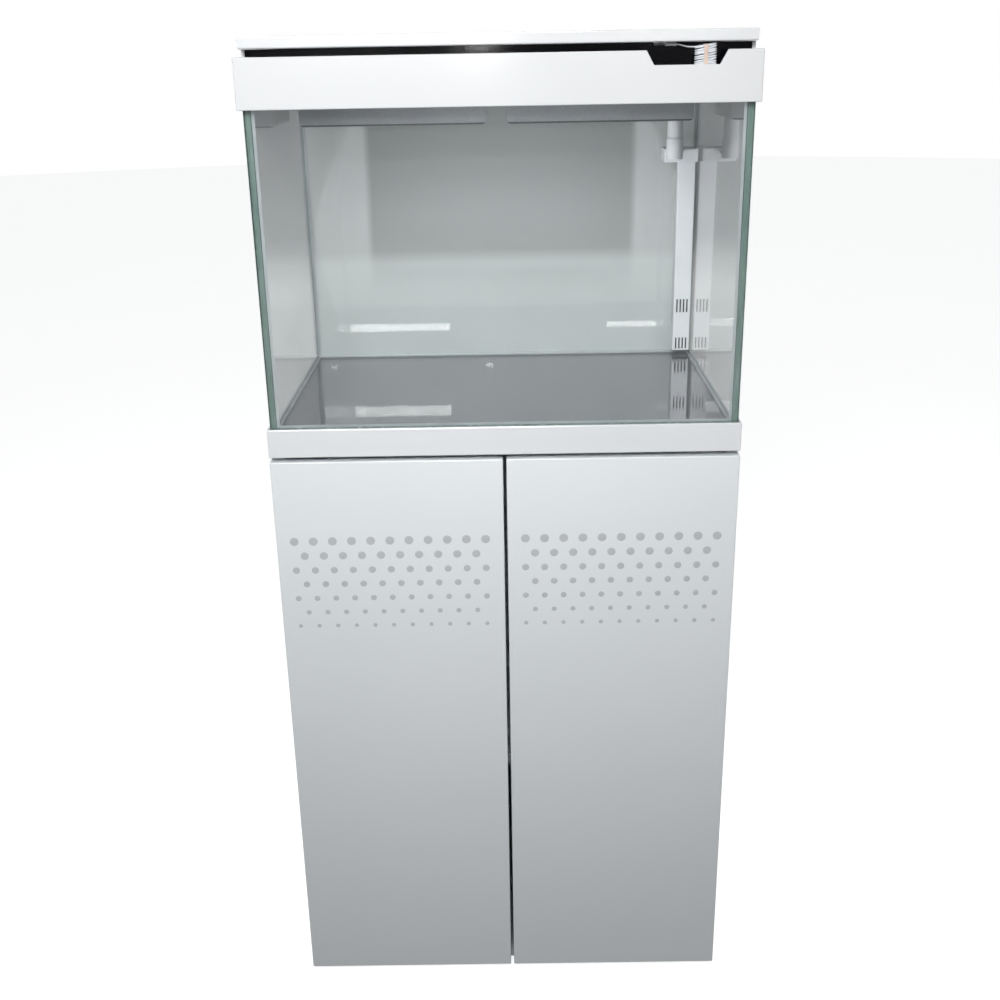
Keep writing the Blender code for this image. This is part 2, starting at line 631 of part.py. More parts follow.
# ------------------------------------------------------------------ tank
def make_tank(glass, trim_paint, foam, film, sealant):
    trim = box("base_trim", (-RIGHT, FRONT, TRIM_BOTTOM), (RIGHT, REAR, TRIM_TOP), trim_paint,
               edge=TRIM_EDGE, steps=2)
    trim_inner = (RIGHT - TRIM_WALL, REAR - TRIM_WALL)
    cut(trim, box_shape((-trim_inner[0], -trim_inner[1], TRIM_BOTTOM - TRIM_HEIGHT),
                        (trim_inner[0], trim_inner[1], TRIM_TOP + TRIM_HEIGHT)), "inside")
    box("foam_mat", (-TANK_RIGHT, -TANK_REAR, MAT_BOTTOM),
        (TANK_RIGHT, TANK_REAR, MAT_BOTTOM + MAT_THICKNESS), foam)
    box("base_pane", (-TANK_RIGHT, -TANK_REAR, BASE_BOTTOM), (TANK_RIGHT, TANK_REAR, BASE_TOP), glass,
        edge=GLASS_EDGE)
    box("front_pane", (-TANK_RIGHT, -TANK_REAR, WALL_BOTTOM), (TANK_RIGHT, -GLASS_REAR, TANK_TOP),
        glass, edge=GLASS_EDGE)
    box("back_pane", (-TANK_RIGHT, GLASS_REAR, WALL_BOTTOM), (TANK_RIGHT, TANK_REAR, TANK_TOP),
        glass, edge=GLASS_EDGE)
    side_reach = GLASS_REAR - FIT
    for name, edges in (("left_pane", (-TANK_RIGHT, -GLASS_RIGHT)),
                        ("right_pane", (GLASS_RIGHT, TANK_RIGHT))):
        box(name, (edges[0], -side_reach, WALL_BOTTOM), (edges[1], side_reach, TANK_TOP), glass,
            edge=GLASS_EDGE)
    film_right = TANK_RIGHT - FILM_MARGIN
    box("back_film", (-film_right, TANK_REAR + FIT, TRIM_TOP + FILM_MARGIN),
        (film_right, TANK_REAR + FIT + FILM, TANK_TOP - FILM_MARGIN), film)
    make_seams(sealant)


def make_seams(sealant):
    """Silicone beads: one ring round the base pane and one bead up each corner."""
    right = GLASS_RIGHT - FIT
    rear = GLASS_REAR - FIT
    seams = box("tank_seams", (-right, -rear, WALL_BOTTOM), (right, rear, TANK_TOP - SURROUND_DROP),
                sealant)
    over = SEAM_LEG
    room = box_shape((-right - over, -rear - over, WALL_BOTTOM - over),
                     (right + over, rear + over, TANK_TOP + over))
    lowest = WALL_BOTTOM - over
    edges = [edge for edge in room.edges
             if all(abs(v.co.z - lowest) < 1e-6 for v in edge.verts)
             or abs(edge.verts[0].co.z - edge.verts[1].co.z) > 1e-6]
    chamfer = 2 * over + SEAM_LEG
    bmesh.ops.bevel(room, geom=edges, offset=chamfer, segments=1, affect="EDGES", profile=0.5)
    cut(seams, room, "room")


# ------------------------------------------------------------------ hood
def make_hood(white, black, metal, lamp_shell, lens):
    make_surround(white)
    make_riser(white, black)
    make_lid(white, metal)
    make_lamp(lamp_shell, lens)


def make_surround(white):
    ring = box("hood_surround", (-SURROUND_RIGHT, -SURROUND_REAR, SURROUND_BOTTOM),
               (SURROUND_RIGHT, SURROUND_REAR, SURROUND_TOP), white, edge=SURROUND_EDGE, steps=2)
    x = SURROUND_RIGHT - SURROUND_WALL
    y = SURROUND_REAR - SURROUND_WALL
    over = SURROUND_HEIGHT
    cut(ring, box_shape((-x, -y, SURROUND_BOTTOM - over), (x, y, LEDGE_BOTTOM)), "below_ledge")
    cut(ring, box_shape((-x, -y, LEDGE_TOP), (x, y, SURROUND_TOP + over)), "above_ledge")
    cut(ring, box_shape((-LEDGE_RIGHT, LEDGE_NEAR, LEDGE_BOTTOM - over),
                        (LEDGE_RIGHT, LEDGE_BACK, LEDGE_TOP + over)), "middle")
    cut(ring, prism_shape(notch_outline(), "Y", -SURROUND_REAR - SURROUND_WALL,
                          -SURROUND_REAR + 2 * SURROUND_WALL), "notch")


def notch_outline():
    """Tapered finger notch, open upwards, with rounded lower corners."""
    centre = SURROUND_RIGHT - NOTCH_FROM_SIDE
    floor = SURROUND_TOP - NOTCH_DEPTH
    slope = (NOTCH_TOP_WIDTH - NOTCH_BOTTOM_WIDTH) / 2 / NOTCH_DEPTH
    lean = math.atan(slope)
    above = NOTCH_DEPTH / 2
    half_top = NOTCH_TOP_WIDTH / 2 + slope * above
    turn = math.pi / 2 - lean
    half_floor = NOTCH_BOTTOM_WIDTH / 2 - NOTCH_RADIUS * math.tan(turn / 2)
    points = [(centre + half_top, SURROUND_TOP + above), (centre - half_top, SURROUND_TOP + above)]
    steps = 4
    for side in (-1, 1):
        arc = []
        for step in range(steps + 1):
            angle = turn * step / steps
            arc.append((centre + side * (half_floor + NOTCH_RADIUS * math.sin(angle)),
                        floor + NOTCH_RADIUS * (1 - math.cos(angle))))
        points.extend(reversed(arc) if side < 0 else arc)
    return points


def make_riser(white, black):
    """Black front panel, and a white frame of two sides and a back with the lid's outer knuckles."""
    inner = TANK_RIGHT - RISER_SIDE_PANEL
    panel = box("riser_front", (-inner + FIT, RISER_FRONT, ON_LEDGE), (inner - FIT, RISER_BACK, RISER_TOP),
                black)
    notch_x = TANK_RIGHT - LEAD_NOTCH_FROM_SIDE
    outline = rounded_outline((notch_x - LEAD_NOTCH_WIDTH / 2, RISER_TOP - LEAD_NOTCH_DEPTH),
                              (notch_x + LEAD_NOTCH_WIDTH / 2, RISER_TOP + LEAD_NOTCH_DEPTH),
                              LEAD_NOTCH_CORNER, 2)
    cut(panel, prism_shape(outline, "Y", RISER_FRONT - RISER_FRONT_PANEL, RISER_BACK + RISER_FRONT_PANEL),
        "lead_notch")
    frame = box("riser_frame", (-TANK_RIGHT, RISER_FRONT, ON_LEDGE), (TANK_RIGHT, TANK_REAR, RISER_TOP),
                white)
    cut(frame, box_shape((-inner, RISER_FRONT - SURROUND_HEIGHT, ON_LEDGE - SURROUND_HEIGHT),
                         (inner, TANK_REAR - RISER_SIDE_PANEL, RISER_TOP + SURROUND_HEIGHT)), "inside")
    reach = KNUCKLE_LENGTH / 2 + KNUCKLE_PLAY
    for side in (-1, 1):
        for end in (-1, 1):
            near = side * LID_HINGE_FROM_CENTRE + end * reach
            span = sorted((near, near + end * KNUCKLE_LENGTH / 2))
            word = f"knuckle_{'l' if side < 0 else 'r'}{'a' if end < 0 else 'b'}"
            add(frame, box_shape((span[0], TANK_REAR - RISER_SIDE_PANEL / 2, HINGE_Z - FRAME_LUG_DROP),
                                 (span[1], HINGE_Y + FRAME_LUG_REACH, HINGE_Z - FRAME_LUG_REACH)),
                word + "_lug")
            add(frame, cylinder_shape((HINGE_Y, HINGE_Z), KNUCKLE_RADIUS, "X", *span, 20), word)
        cut(frame, pin_bore(side), f"bore_{'l' if side < 0 else 'r'}")


def pin_bore(side):
    reach = KNUCKLE_LENGTH + 2 * KNUCKLE_PLAY + LID_PIN_RADIUS
    centre = side * LID_HINGE_FROM_CENTRE
    return cylinder_shape((HINGE_Y, HINGE_Z), LID_PIN_RADIUS + LID_PIN_PLAY, "X", centre - reach,
                          centre + reach, 20)


def make_lid(white, metal):
    """Shallow cover, open below, with one knuckle in each rear hinge."""
    axis = (0, HINGE_Y, HINGE_Z)
    pivot = axis_empty("lid_axis", axis)
    shape = box_shape((-TANK_RIGHT, -TANK_REAR, LID_BOTTOM), (TANK_RIGHT, TANK_REAR, LID_TOP))
    for level, width in ((LID_BOTTOM, LID_BOTTOM_EDGE), (LID_TOP, LID_TOP_EDGE)):
        rim = [edge for edge in shape.edges if all(abs(v.co.z - level) < 1e-6 for v in edge.verts)]
        bmesh.ops.bevel(shape, geom=rim, offset=width, segments=3, affect="EDGES", profile=0.5)
    lid = add_object("lid", shape, white, axis, 40)
    inner = (TANK_RIGHT - LID_WALL, TANK_REAR - LID_WALL)
    cut(lid, box_shape((-inner[0], -inner[1], LID_BOTTOM - LID_THICKNESS),
                       (inner[0], inner[1], LID_TOP - LID_WALL)), "hollow")
    half = KNUCKLE_LENGTH / 2
    for word, side in (("left", -1), ("right", 1)):
        centre = side * LID_HINGE_FROM_CENTRE
        add(lid, box_shape((centre - half, TANK_REAR - LID_WALL / 2, LID_BOTTOM + LID_LUG_RISE),
                           (centre + half, HINGE_Y + LID_LUG_REACH,
                            LID_BOTTOM + LID_LUG_HEIGHT)), word + "_lug")
        add(lid, cylinder_shape((HINGE_Y, HINGE_Z), KNUCKLE_RADIUS, "X", centre - half, centre + half,
                                20), word + "_knuckle")
        cut(lid, pin_bore(side), word + "_bore")
        reach = KNUCKLE_LENGTH + KNUCKLE_PLAY
        add_object(word + "_lid_pin", cylinder_shape((HINGE_Y, HINGE_Z), LID_PIN_RADIUS, "X",
                                                     centre - reach, centre + reach, 20), metal)
    hold(pivot, lid)


def make_lamp(shell, lens):
    """Light bar across the front of the hood, its lens, and the gland for its lead."""
    right = TANK_RIGHT - RISER_SIDE_PANEL - FIT
    front = RISER_BACK + LAMP_SETBACK
    rear = front + LAMP_DEPTH
    top = ON_LEDGE + LAMP_HEIGHT
    housing = box("lamp_housing", (-right, front, ON_LEDGE), (right, rear, top), shell,
                  edge=LAMP_EDGE, steps=2)
    recess = right - LAMP_END
    cut(housing, box_shape((-recess, front + LAMP_WALL, ON_LEDGE - LAMP_HEIGHT),
                           (recess, rear - LAMP_WALL, top - LAMP_WALL)), "recess")
    box("lamp_lens", (-recess + FIT, front + LAMP_WALL + FIT, ON_LEDGE),
        (recess - FIT, rear - LAMP_WALL - FIT, ON_LEDGE + LENS_THICKNESS), lens)
    x = TANK_RIGHT - GLAND_FROM_SIDE
    z = ON_LEDGE + LAMP_HEIGHT / 2
    face = front - FIT
    sections = [(face, GLAND_RADIUS), (face - GLAND_COLLAR, GLAND_RADIUS),
                (face - GLAND_COLLAR - GLAND_SHOULDER, GLAND_NECK_RADIUS),
                (face - GLAND_LENGTH, GLAND_TIP_RADIUS)]
    add_object("lead_gland", tapered_shape(sections, "Y", (x, z)), shell, smooth_angle=40)


# ------------------------------------------------------------------ filter
def make_filter(clear_plastic, wool, white, pump_plastic):
    middle = TRAY_GAP_OFFSET
    spans = {"left": (middle - TRAY_GAP / 2 - TRAY_WIDTH, middle - TRAY_GAP / 2),
             "right": (middle + TRAY_GAP / 2, middle + TRAY_GAP / 2 + TRAY_WIDTH)}
    for word, span in spans.items():
        tray = make_tray(word + "_tray", span, clear_plastic)
        if word == "right":
            cut(tray, cylinder_shape((PIPE_X, PIPE_Y), SPIGOT_RADIUS + SPIGOT_PLAY, "Z",
                                     TRAY_BOTTOM - TRAY_WALL, TRAY_FLOOR + TRAY_WALL), "pipe_hole")
    make_pads(spans, wool)
    make_rail(clear_plastic)
    make_column(white)
    make_pump(pump_plastic)
    make_pipe(white)
    make_rotor(pump_plastic)


def make_tray(name, span, plastic):
    """Open tray with rounded lower edges, flanges front and rear, and drain slots in its floor."""
    outer = tray_outline(span, TRAY_BOTTOM, TRAY_CORNER, TRAY_TOP)
    tray = add_object(name, prism_shape(outer, "Y", TRAY_FRONT, TRAY_BACK), plastic)
    flange = box_shape((span[0], TRAY_FRONT - TRAY_FRONT_FLANGE, ON_LEDGE),
                       (span[1], TRAY_BACK + TRAY_REAR_FLANGE, TRAY_TOP))
    add(tray, flange, "flange")
    inner_span = (span[0] + TRAY_WALL, span[1] - TRAY_WALL)
    inner = tray_outline(inner_span, TRAY_FLOOR, TRAY_CORNER - TRAY_WALL, TRAY_TOP + TRAY_DROP)
    cut(tray, prism_shape(inner, "Y", TRAY_FRONT + TRAY_WALL, TRAY_BACK - TRAY_WALL), "hollow")
    middle_y = (TRAY_FRONT + TRAY_BACK) / 2
    for index in range(DRAIN_COUNT):
        x = span[0] + DRAIN_FROM_END + index * DRAIN_PITCH
        cut(tray, box_shape((x - DRAIN_WIDTH / 2, middle_y - DRAIN_LENGTH / 2, TRAY_BOTTOM - TRAY_WALL),
                            (x + DRAIN_WIDTH / 2, middle_y + DRAIN_LENGTH / 2, TRAY_FLOOR + TRAY_WALL)),
            f"drain_{index + 1}")
    return tray


def tray_outline(span, bottom, radius, top):
    """Front view of a tray: square above, rounded below."""
    points = [(span[1], top), (span[0], top)]
    steps = 5
    for centre, start in ((span[0] + radius, math.pi), (span[1] - radius, 1.5 * math.pi)):
        for step in range(steps + 1):
            angle = start + math.pi / 2 * step / steps
            points.append((centre + radius * math.cos(angle), bottom + radius + radius * math.sin(angle)))
    return points


def make_pads(spans, wool):
    side = TRAY_WALL + PAD_CLEARANCE
    for word, span in spans.items():
        end = span[1] - side
        if word == "right":
            end = PIPE_X - SPIGOT_RADIUS - SPIGOT_PLAY - PAD_CLEARANCE
        box(word + "_pad", (span[0] + side, TRAY_FRONT + side, TRAY_FLOOR + FIT),
            (end, TRAY_BACK - side, TRAY_FLOOR + FIT + PAD_HEIGHT), wool, edge=PAD_EDGE, steps=2)


def make_rail(plastic):
    """Cross rail that carries the trays' front flanges, hung on the side ledges by its tabs."""
    right = LEDGE_RIGHT - FIT
    rear = TRAY_FRONT - RAIL_GAP
    rail = box("tray_rail", (-right, rear - RAIL_WIDTH, LEDGE_TOP - RAIL_HEIGHT), (right, rear, LEDGE_TOP),
               plastic)
    for word, side in (("left", -1), ("right", 1)):
        tab = sorted((side * (right - RAIL_TAB_LENGTH / 2), side * (right + RAIL_TAB_LENGTH / 2)))
        add(rail, box_shape((tab[0], rear - RAIL_WIDTH, ON_LEDGE), (tab[1], rear, ON_LEDGE + RAIL_TAB)),
            word + "_tab")
        neck = sorted((side * (right - RAIL_TAB_LENGTH / 2), side * right))
        add(rail, box_shape((neck[0], rear - RAIL_WIDTH, LEDGE_TOP - RAIL_TAB),
                            (neck[1], rear, ON_LEDGE + RAIL_TAB / 2)), word + "_neck")


def make_column(white):
    """Hollow intake column in the rear right corner, with two rows of slots in its front."""
    bottom = BASE_TOP + COLUMN_FOOT
    top = PUMP_BOTTOM - FIT
    column = box("intake_column", (COLUMN_LEFT, COLUMN_FRONT, bottom), (COLUMN_RIGHT, COLUMN_BACK, top),
                 white, edge=COLUMN_EDGE, steps=2)
    wall = COLUMN_WALL
    cut(column, box_shape((COLUMN_LEFT + wall, COLUMN_FRONT + wall, bottom + wall),
                          (COLUMN_RIGHT - wall, COLUMN_BACK - wall, top + COLUMN_DEPTH)), "inside")
    middle = (COLUMN_LEFT + COLUMN_RIGHT) / 2
    for row, start, length in (("low", SLOT_LOW_BOTTOM, SLOT_LOW_LENGTH),
                               ("high", SLOT_HIGH_BOTTOM, SLOT_HIGH_LENGTH)):
        for index in range(SLOT_COUNT):
            x = middle + (index - (SLOT_COUNT - 1) / 2) * SLOT_PITCH
            z = BASE_TOP + start
            cut(column, box_shape((x - SLOT_WIDTH / 2, COLUMN_FRONT - wall, z),
                                  (x + SLOT_WIDTH / 2, COLUMN_FRONT + 2 * wall, z + length)),
                f"{row}_slot_{index + 1}")


def make_pump(plastic):
    """Pump head on the column: a block with a rotor chamber, and the pipe socket in front of it."""
    pump = box("pump_housing", (PUMP_LEFT, PUMP_FRONT, PUMP_BOTTOM), (COLUMN_RIGHT, COLUMN_BACK, PUMP_TOP),
               plastic, edge=PUMP_EDGE, steps=2)
    add(pump, cylinder_shape((PIPE_X, PIPE_Y), SOCKET_RADIUS, "Z", SOCKET_BOTTOM, SOCKET_TOP), "socket")
    neck = (PIPE_X - NECK_HALF_WIDTH, PIPE_X + NECK_HALF_WIDTH)
    add(pump, box_shape((neck[0], PIPE_Y, SOCKET_BOTTOM + PUMP_EDGE),
                        (neck[1], PUMP_FRONT + PUMP_EDGE * 2, PUMP_TOP - PUMP_EDGE)), "neck")
    cut(pump, cylinder_shape((PIPE_X, PIPE_Y), SPIGOT_RADIUS + SPIGOT_PLAY, "Z",
                             SOCKET_BOTTOM + SOCKET_FLOOR, SOCKET_TOP + SOCKET_RISE), "socket_bore")
    cut(pump, cylinder_shape((ROTOR_X, ROTOR_Y), CHAMBER_RADIUS, "Z", CHAMBER_BOTTOM,
                             CHAMBER_BOTTOM + CHAMBER_HEIGHT, 24), "chamber")
    cut(pump, cylinder_shape((ROTOR_X, ROTOR_Y), CHAMBER_MOUTH_RADIUS, "Z", PUMP_BOTTOM - PUMP_HEIGHT,
                             CHAMBER_BOTTOM + CHAMBER_HEIGHT / 2, 20), "mouth")
    cut(pump, channel_shape(), "channel")


def channel_shape():
    """Round passage from the rotor chamber to the socket."""
    z = SOCKET_BOTTOM + SOCKET_FLOOR + CHANNEL_RADIUS + CHANNEL_RISE
    start = Vector((ROTOR_X, ROTOR_Y, z))
    end = Vector((PIPE_X, PIPE_Y, z))
    run = end - start
    shape = cylinder_shape((0, 0), CHANNEL_RADIUS, "Z", 0, run.length, SMALL_ROUND)
    turn = run.to_track_quat("Z", "Y").to_matrix().to_4x4()
    bmesh.ops.transform(shape, verts=shape.verts, matrix=Matrix.Translation(start) @ turn)
    return shape


def make_pipe(white):
    """Riser pipe: a spigot in the socket, the wide pipe, and a spigot up through the tray's floor."""
    foot = SOCKET_TOP - SPIGOT_DEPTH
    shoulder = SOCKET_TOP + FIT
    neck = TRAY_BOTTOM - FIT
    top = TRAY_FLOOR + PIPE_TOP_IN_TRAY
    sections = [(foot, SPIGOT_RADIUS), (shoulder, SPIGOT_RADIUS), (shoulder, PIPE_RADIUS),
                (neck, PIPE_RADIUS), (neck, SPIGOT_RADIUS), (top, SPIGOT_RADIUS)]
    pipe = add_object("riser_pipe", tapered_shape(sections, "Z", (PIPE_X, PIPE_Y), ROUND), white,
                      smooth_angle=40)
    cut(pipe, cylinder_shape((PIPE_X, PIPE_Y), PIPE_BORE, "Z", foot - SPIGOT_DEPTH, top + SPIGOT_DEPTH, 24),
        "bore")


def make_rotor(plastic):
    """Pump rotor: a hub and its blades, turning on a vertical axis."""
    bottom = CHAMBER_BOTTOM + (CHAMBER_HEIGHT - ROTOR_HEIGHT) / 2
    top = bottom + ROTOR_HEIGHT
    axis = (ROTOR_X, ROTOR_Y, bottom)
    pivot = axis_empty("rotor_axis", axis)
    rotor = add_object("pump_rotor", cylinder_shape((ROTOR_X, ROTOR_Y), ROTOR_HUB_RADIUS, "Z", bottom, top,
                                                    SMALL_ROUND), plastic, axis)
    for index in range(BLADE_COUNT // 2):
        blade = box_shape((-ROTOR_RADIUS, -BLADE_THICKNESS / 2, bottom + BLADE_END_INSET),
                          (ROTOR_RADIUS, BLADE_THICKNESS / 2, top - BLADE_END_INSET))
        turn = Matrix.Rotation(math.tau * index / BLADE_COUNT, 4, "Z")
        bmesh.ops.transform(blade, verts=blade.verts,
                            matrix=Matrix.Translation((ROTOR_X, ROTOR_Y, 0)) @ turn)
        add(rotor, blade, f"blade_pair_{index + 1}")
    hold(pivot, rotor)


# ------------------------------------------------------------------ lamp lead
def smooth_route(points, spacing):
    """Even points on a smooth curve through the route's own points."""
    route = [Vector(point) for point in points]
    padded = [2 * route[0] - route[1]] + route + [2 * route[-1] - route[-2]]
    fine = []
    for before, start, end, after in zip(padded, padded[1:], padded[2:], padded[3:]):
        for part in range(ROUTE_PARTS):
            t = part / ROUTE_PARTS
            fine.append(0.5 * (2 * start + (end - before) * t
                               + (2 * before - 5 * start + 4 * end - after) * t ** 2
                               + (3 * start - before - 3 * end + after) * t ** 3))
    fine.append(route[-1])
    lengths = [0.0]
    for first, second in zip(fine, fine[1:]):
        lengths.append(lengths[-1] + (second - first).length)
    count = max(2, round(lengths[-1] / spacing))
    even = []
    index = 0
    for step in range(count + 1):
        target = lengths[-1] * step / count
        while index < len(fine) - 2 and lengths[index + 1] < target:
            index += 1
        share = (target - lengths[index]) / (lengths[index + 1] - lengths[index])
        even.append(fine[index].lerp(fine[index + 1], min(1.0, max(0.0, share))))
    return even


def make_tube(name, route, finish):
    data = bpy.data.curves.new(name, "CURVE")
    data.dimensions = "3D"
    data.bevel_depth = LEAD_DIAMETER / 2
    data.bevel_resolution = 2
    data.use_fill_caps = True
    points = smooth_route(route, LEAD_POINT_SPACING)
    spline = data.splines.new("POLY")
    spline.points.add(len(points) - 1)
    for point, place in zip(spline.points, points):
        point.co = (*place, 1.0)
    data.materials.append(finish)
    made = bpy.data.objects.new(name, data)
    bpy.context.scene.collection.objects.link(made)


def make_lead(lead, white, black, metal):
    """Lamp lead over the riser, through its clip and into a tied hank, and its plug."""
    make_tube("lamp_lead", LEAD_ROUTE, lead)
    make_tube("lead_tail", TAIL_ROUTE, lead)
    half = HANK_BEND + LEAD_DIAMETER / 2 + FIT
    straight = HANK_LENGTH / 2 - half
    outline = capsule_outline((HANK_CENTRE[0] - straight, HANK_CENTRE[1]),
                              (HANK_CENTRE[0] + straight, HANK_CENTRE[1]), half, 8)
    add_object("lead_hank", prism_shape(outline, "Z", HANK_BOTTOM, HANK_TOP), lead)
    make_clip(white)
    make_connector(black, metal)


def make_clip(white):
    """Adhesive strip on the riser with two saddles round the lead."""
    run = [point for point in LEAD_ROUTE if point[0] >= CLIP_FIRST][0]
    last = CLIP_FIRST + (CLIP_COUNT - 1) * CLIP_PITCH
    clip = box("lead_clip", (CLIP_FIRST - CLIP_MARGIN, RISER_FRONT - FIT - CLIP_STRIP,
                             run[2] - CLIP_HALF_HEIGHT),
               (last + CLIP_MARGIN, RISER_FRONT - FIT, run[2] + CLIP_HALF_HEIGHT), white)
    for index in range(CLIP_COUNT):
        x = CLIP_FIRST + index * CLIP_PITCH
        add(clip, cylinder_shape((run[1], run[2]), SADDLE_RADIUS, "X", x - SADDLE_LENGTH / 2,
                                 x + SADDLE_LENGTH / 2, 20), f"saddle_{index + 1}")
    cut(clip, cylinder_shape((run[1], run[2]), LEAD_DIAMETER / 2 + FIT, "X", CLIP_FIRST - CLIP_PITCH,
                             last + CLIP_PITCH, 20), "passage")


def make_connector(black, metal):
    """Round low-voltage plug lying on the ledge behind the surround."""
    y = TAIL_ROUTE[-1][1]
    z = TAIL_ROUTE[-1][2]
    body = CONNECTOR_START + CONNECTOR_RELIEF
    tip = body + CONNECTOR_BODY
    inner = CONNECTOR_RADIUS - CONNECTOR_EDGE
    sections = [(CONNECTOR_START, RELIEF_TIP_RADIUS), (body - RELIEF_SHOULDER, RELIEF_RADIUS),
                (body, inner), (body + CONNECTOR_EDGE, CONNECTOR_RADIUS),
                (tip - CONNECTOR_EDGE, CONNECTOR_RADIUS), (tip, inner), (tip, BARREL_RADIUS),
                (tip + CONNECTOR_BARREL, BARREL_RADIUS)]
    plug = add_object("lead_plug", tapered_shape(sections, "X", (y, z), 20), black, smooth_angle=40)
    plug.data.materials.append(metal)


def main():
    clear_scene()
    board = material("white_board", (0.86, 0.88, 0.90), 0.35)
    glass = material("glass", (0.86, 0.95, 0.92), 0.02, transmission=1.0)
    white = material("hood_white", (0.92, 0.94, 0.96), 0.25)
    black = material("riser_black", (0.01, 0.01, 0.012), 0.08)
    metal = material("hinge_steel", (0.62, 0.62, 0.60), 0.28, metallic=1.0)
    plastic = material("grey_plastic", (0.55, 0.57, 0.60), 0.45)
    foam = material("foam", (0.20, 0.21, 0.22), 0.9)
    film = material("frosted_film", (0.66, 0.68, 0.68), 0.5)
    sealant = material("sealant", (0.50, 0.52, 0.54), 0.4)
    clear = material("tray_plastic", (0.62, 0.65, 0.67), 0.2)
    wool = material("filter_wool", (0.90, 0.91, 0.88), 0.95)
    pump = material("pump_plastic", (0.80, 0.82, 0.85), 0.35)
    lens = material("lamp_lens", (0.90, 0.93, 0.95), 0.15)
    lead = material("lead_sleeve", (0.88, 0.88, 0.88), 0.35)

    make_cabinet(board, plastic)
    make_doors(board, metal)
    make_latches(plastic, white)
    make_tank(glass, white, foam, film, sealant)
    make_hood(white, black, metal, plastic, lens)
    make_filter(clear, wool, white, pump)
    make_lead(lead, white, black, metal)


main()
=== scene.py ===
"""Looks for the aquarium on a two-door cabinet: finishes, lead, door dots, silicone, filter wool and light.

Metres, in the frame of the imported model: +Z up, front towards -Y, origin on the floor under the cabinet.
"""
import math

import bmesh
import bpy
from mathutils import Matrix, Vector, noise


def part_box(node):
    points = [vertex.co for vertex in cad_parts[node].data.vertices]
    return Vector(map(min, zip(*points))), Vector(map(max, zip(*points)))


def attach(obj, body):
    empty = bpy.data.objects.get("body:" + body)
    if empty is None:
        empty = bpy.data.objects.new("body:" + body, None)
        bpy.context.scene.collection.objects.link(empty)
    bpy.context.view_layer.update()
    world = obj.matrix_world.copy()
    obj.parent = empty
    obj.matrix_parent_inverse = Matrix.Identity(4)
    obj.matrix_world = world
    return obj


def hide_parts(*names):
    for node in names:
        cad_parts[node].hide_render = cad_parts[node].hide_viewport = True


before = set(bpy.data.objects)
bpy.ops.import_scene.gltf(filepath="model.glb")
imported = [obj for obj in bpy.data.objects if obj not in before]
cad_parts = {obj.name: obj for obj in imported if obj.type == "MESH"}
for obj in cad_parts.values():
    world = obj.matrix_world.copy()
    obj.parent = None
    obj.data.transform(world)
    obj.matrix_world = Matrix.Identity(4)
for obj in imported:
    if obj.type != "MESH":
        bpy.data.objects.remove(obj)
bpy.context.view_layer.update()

# ------------------------------------------------------------------ sizes (metres)
CAMERA_PLACE = (0.00168, -1.6646, 1.2989)
CAMERA_PITCH = math.radians(20.48)      # below the horizon
CAMERA_ROLL = 0.0177
CAMERA_YAW = math.radians(-0.33)
CAMERA_LENS = 43.67                     # mm, on a sensor 36 mm wide
CAMERA_SENSOR = 36.0
CAMERA_NEAR = 0.05

LEAD_DIAMETER = 0.0016
LEAD_ROUTE = [
    (0.1740, -0.1586, 1.2591), (0.1740, -0.1630, 1.2592), (0.1742, -0.1674, 1.2608),
    (0.1746, -0.1706, 1.2644), (0.1752, -0.1722, 1.2695), (0.1760, -0.1726, 1.2760),
    (0.1768, -0.1726, 1.2830), (0.1778, -0.1726, 1.2895), (0.1794, -0.1726, 1.2946),
    (0.1819, -0.1728, 1.2982), (0.1848, -0.1745, 1.3001), (0.1878, -0.1771, 1.3003),
    (0.1908, -0.1793, 1.2993), (0.1938, -0.1800, 1.2986), (0.1985, -0.1800, 1.2986),
    (0.2032, -0.1800, 1.2986), (0.2080, -0.1802, 1.2980), (0.2130, -0.1810, 1.2966),
    (0.2185, -0.1822, 1.2956), (0.2254, -0.1832, 1.2954)]
TAIL_ROUTE = [
    (0.2484, -0.1832, 1.2541), (0.2515, -0.1834, 1.2542), (0.2550, -0.1845, 1.2553),
    (0.2582, -0.1855, 1.2568), (0.2617, -0.1860, 1.2576)]
HANK_CENTRE = (0.2370, -0.1880)
HANK_RUN = 0.0142                       # straight part of each turn
HANK_FOLD_RADIUS = 0.0049
HANK_PITCHES = [0.0017, 0.0034, 0.0017, 0.0017, 0.0036, 0.0017, 0.0032]     # drop of each turn, from the top
HANK_CLOSE_TURNS = 15                   # the turns under those, packed close
HANK_TOP = 1.2954                       # centre of the lead at the upper left
HANK_BOTTOM = 1.2541
HANK_TILT = 0.0040                      # right end of the top turn above its left end
HANK_FOLD_PARTS = 14
HANK_RUN_PARTS = 3
TIE_WIDTH = 0.0046
TIE_THICKNESS = 0.0003
TIE_SLACK = 0.0001
TIE_CORNER_RADIUS = 0.0016
TIE_CORNER_PARTS = 6
TIE_PARTS_ACROSS = 4
TIE_CROWN = 0.6                         # share of its thickness that the band loses at its rims

DOT_PITCH = 0.0250
DOT_PROUD = 0.00012
DOT_ROWS = [(0.6980, 0.0116), (0.6775, 0.0107), (0.6570, 0.0094), (0.6370, 0.0087),
            (0.6165, 0.0077), (0.5960, 0.0066), (0.5760, 0.0056)]   # height, diameter
DOTS_IN_LONG_ROW = 11
DOT_SIDES = 28
DOT_LIFT = 0.00002                      # rim of a dot above the lacquer
DOT_RINGS = [(1.0, DOT_LIFT), (0.96, DOT_PROUD), (0.55, DOT_PROUD)]     # share of the radius, height
LEFT_DOTS_START = -0.2765
RIGHT_DOTS_START = 0.0254

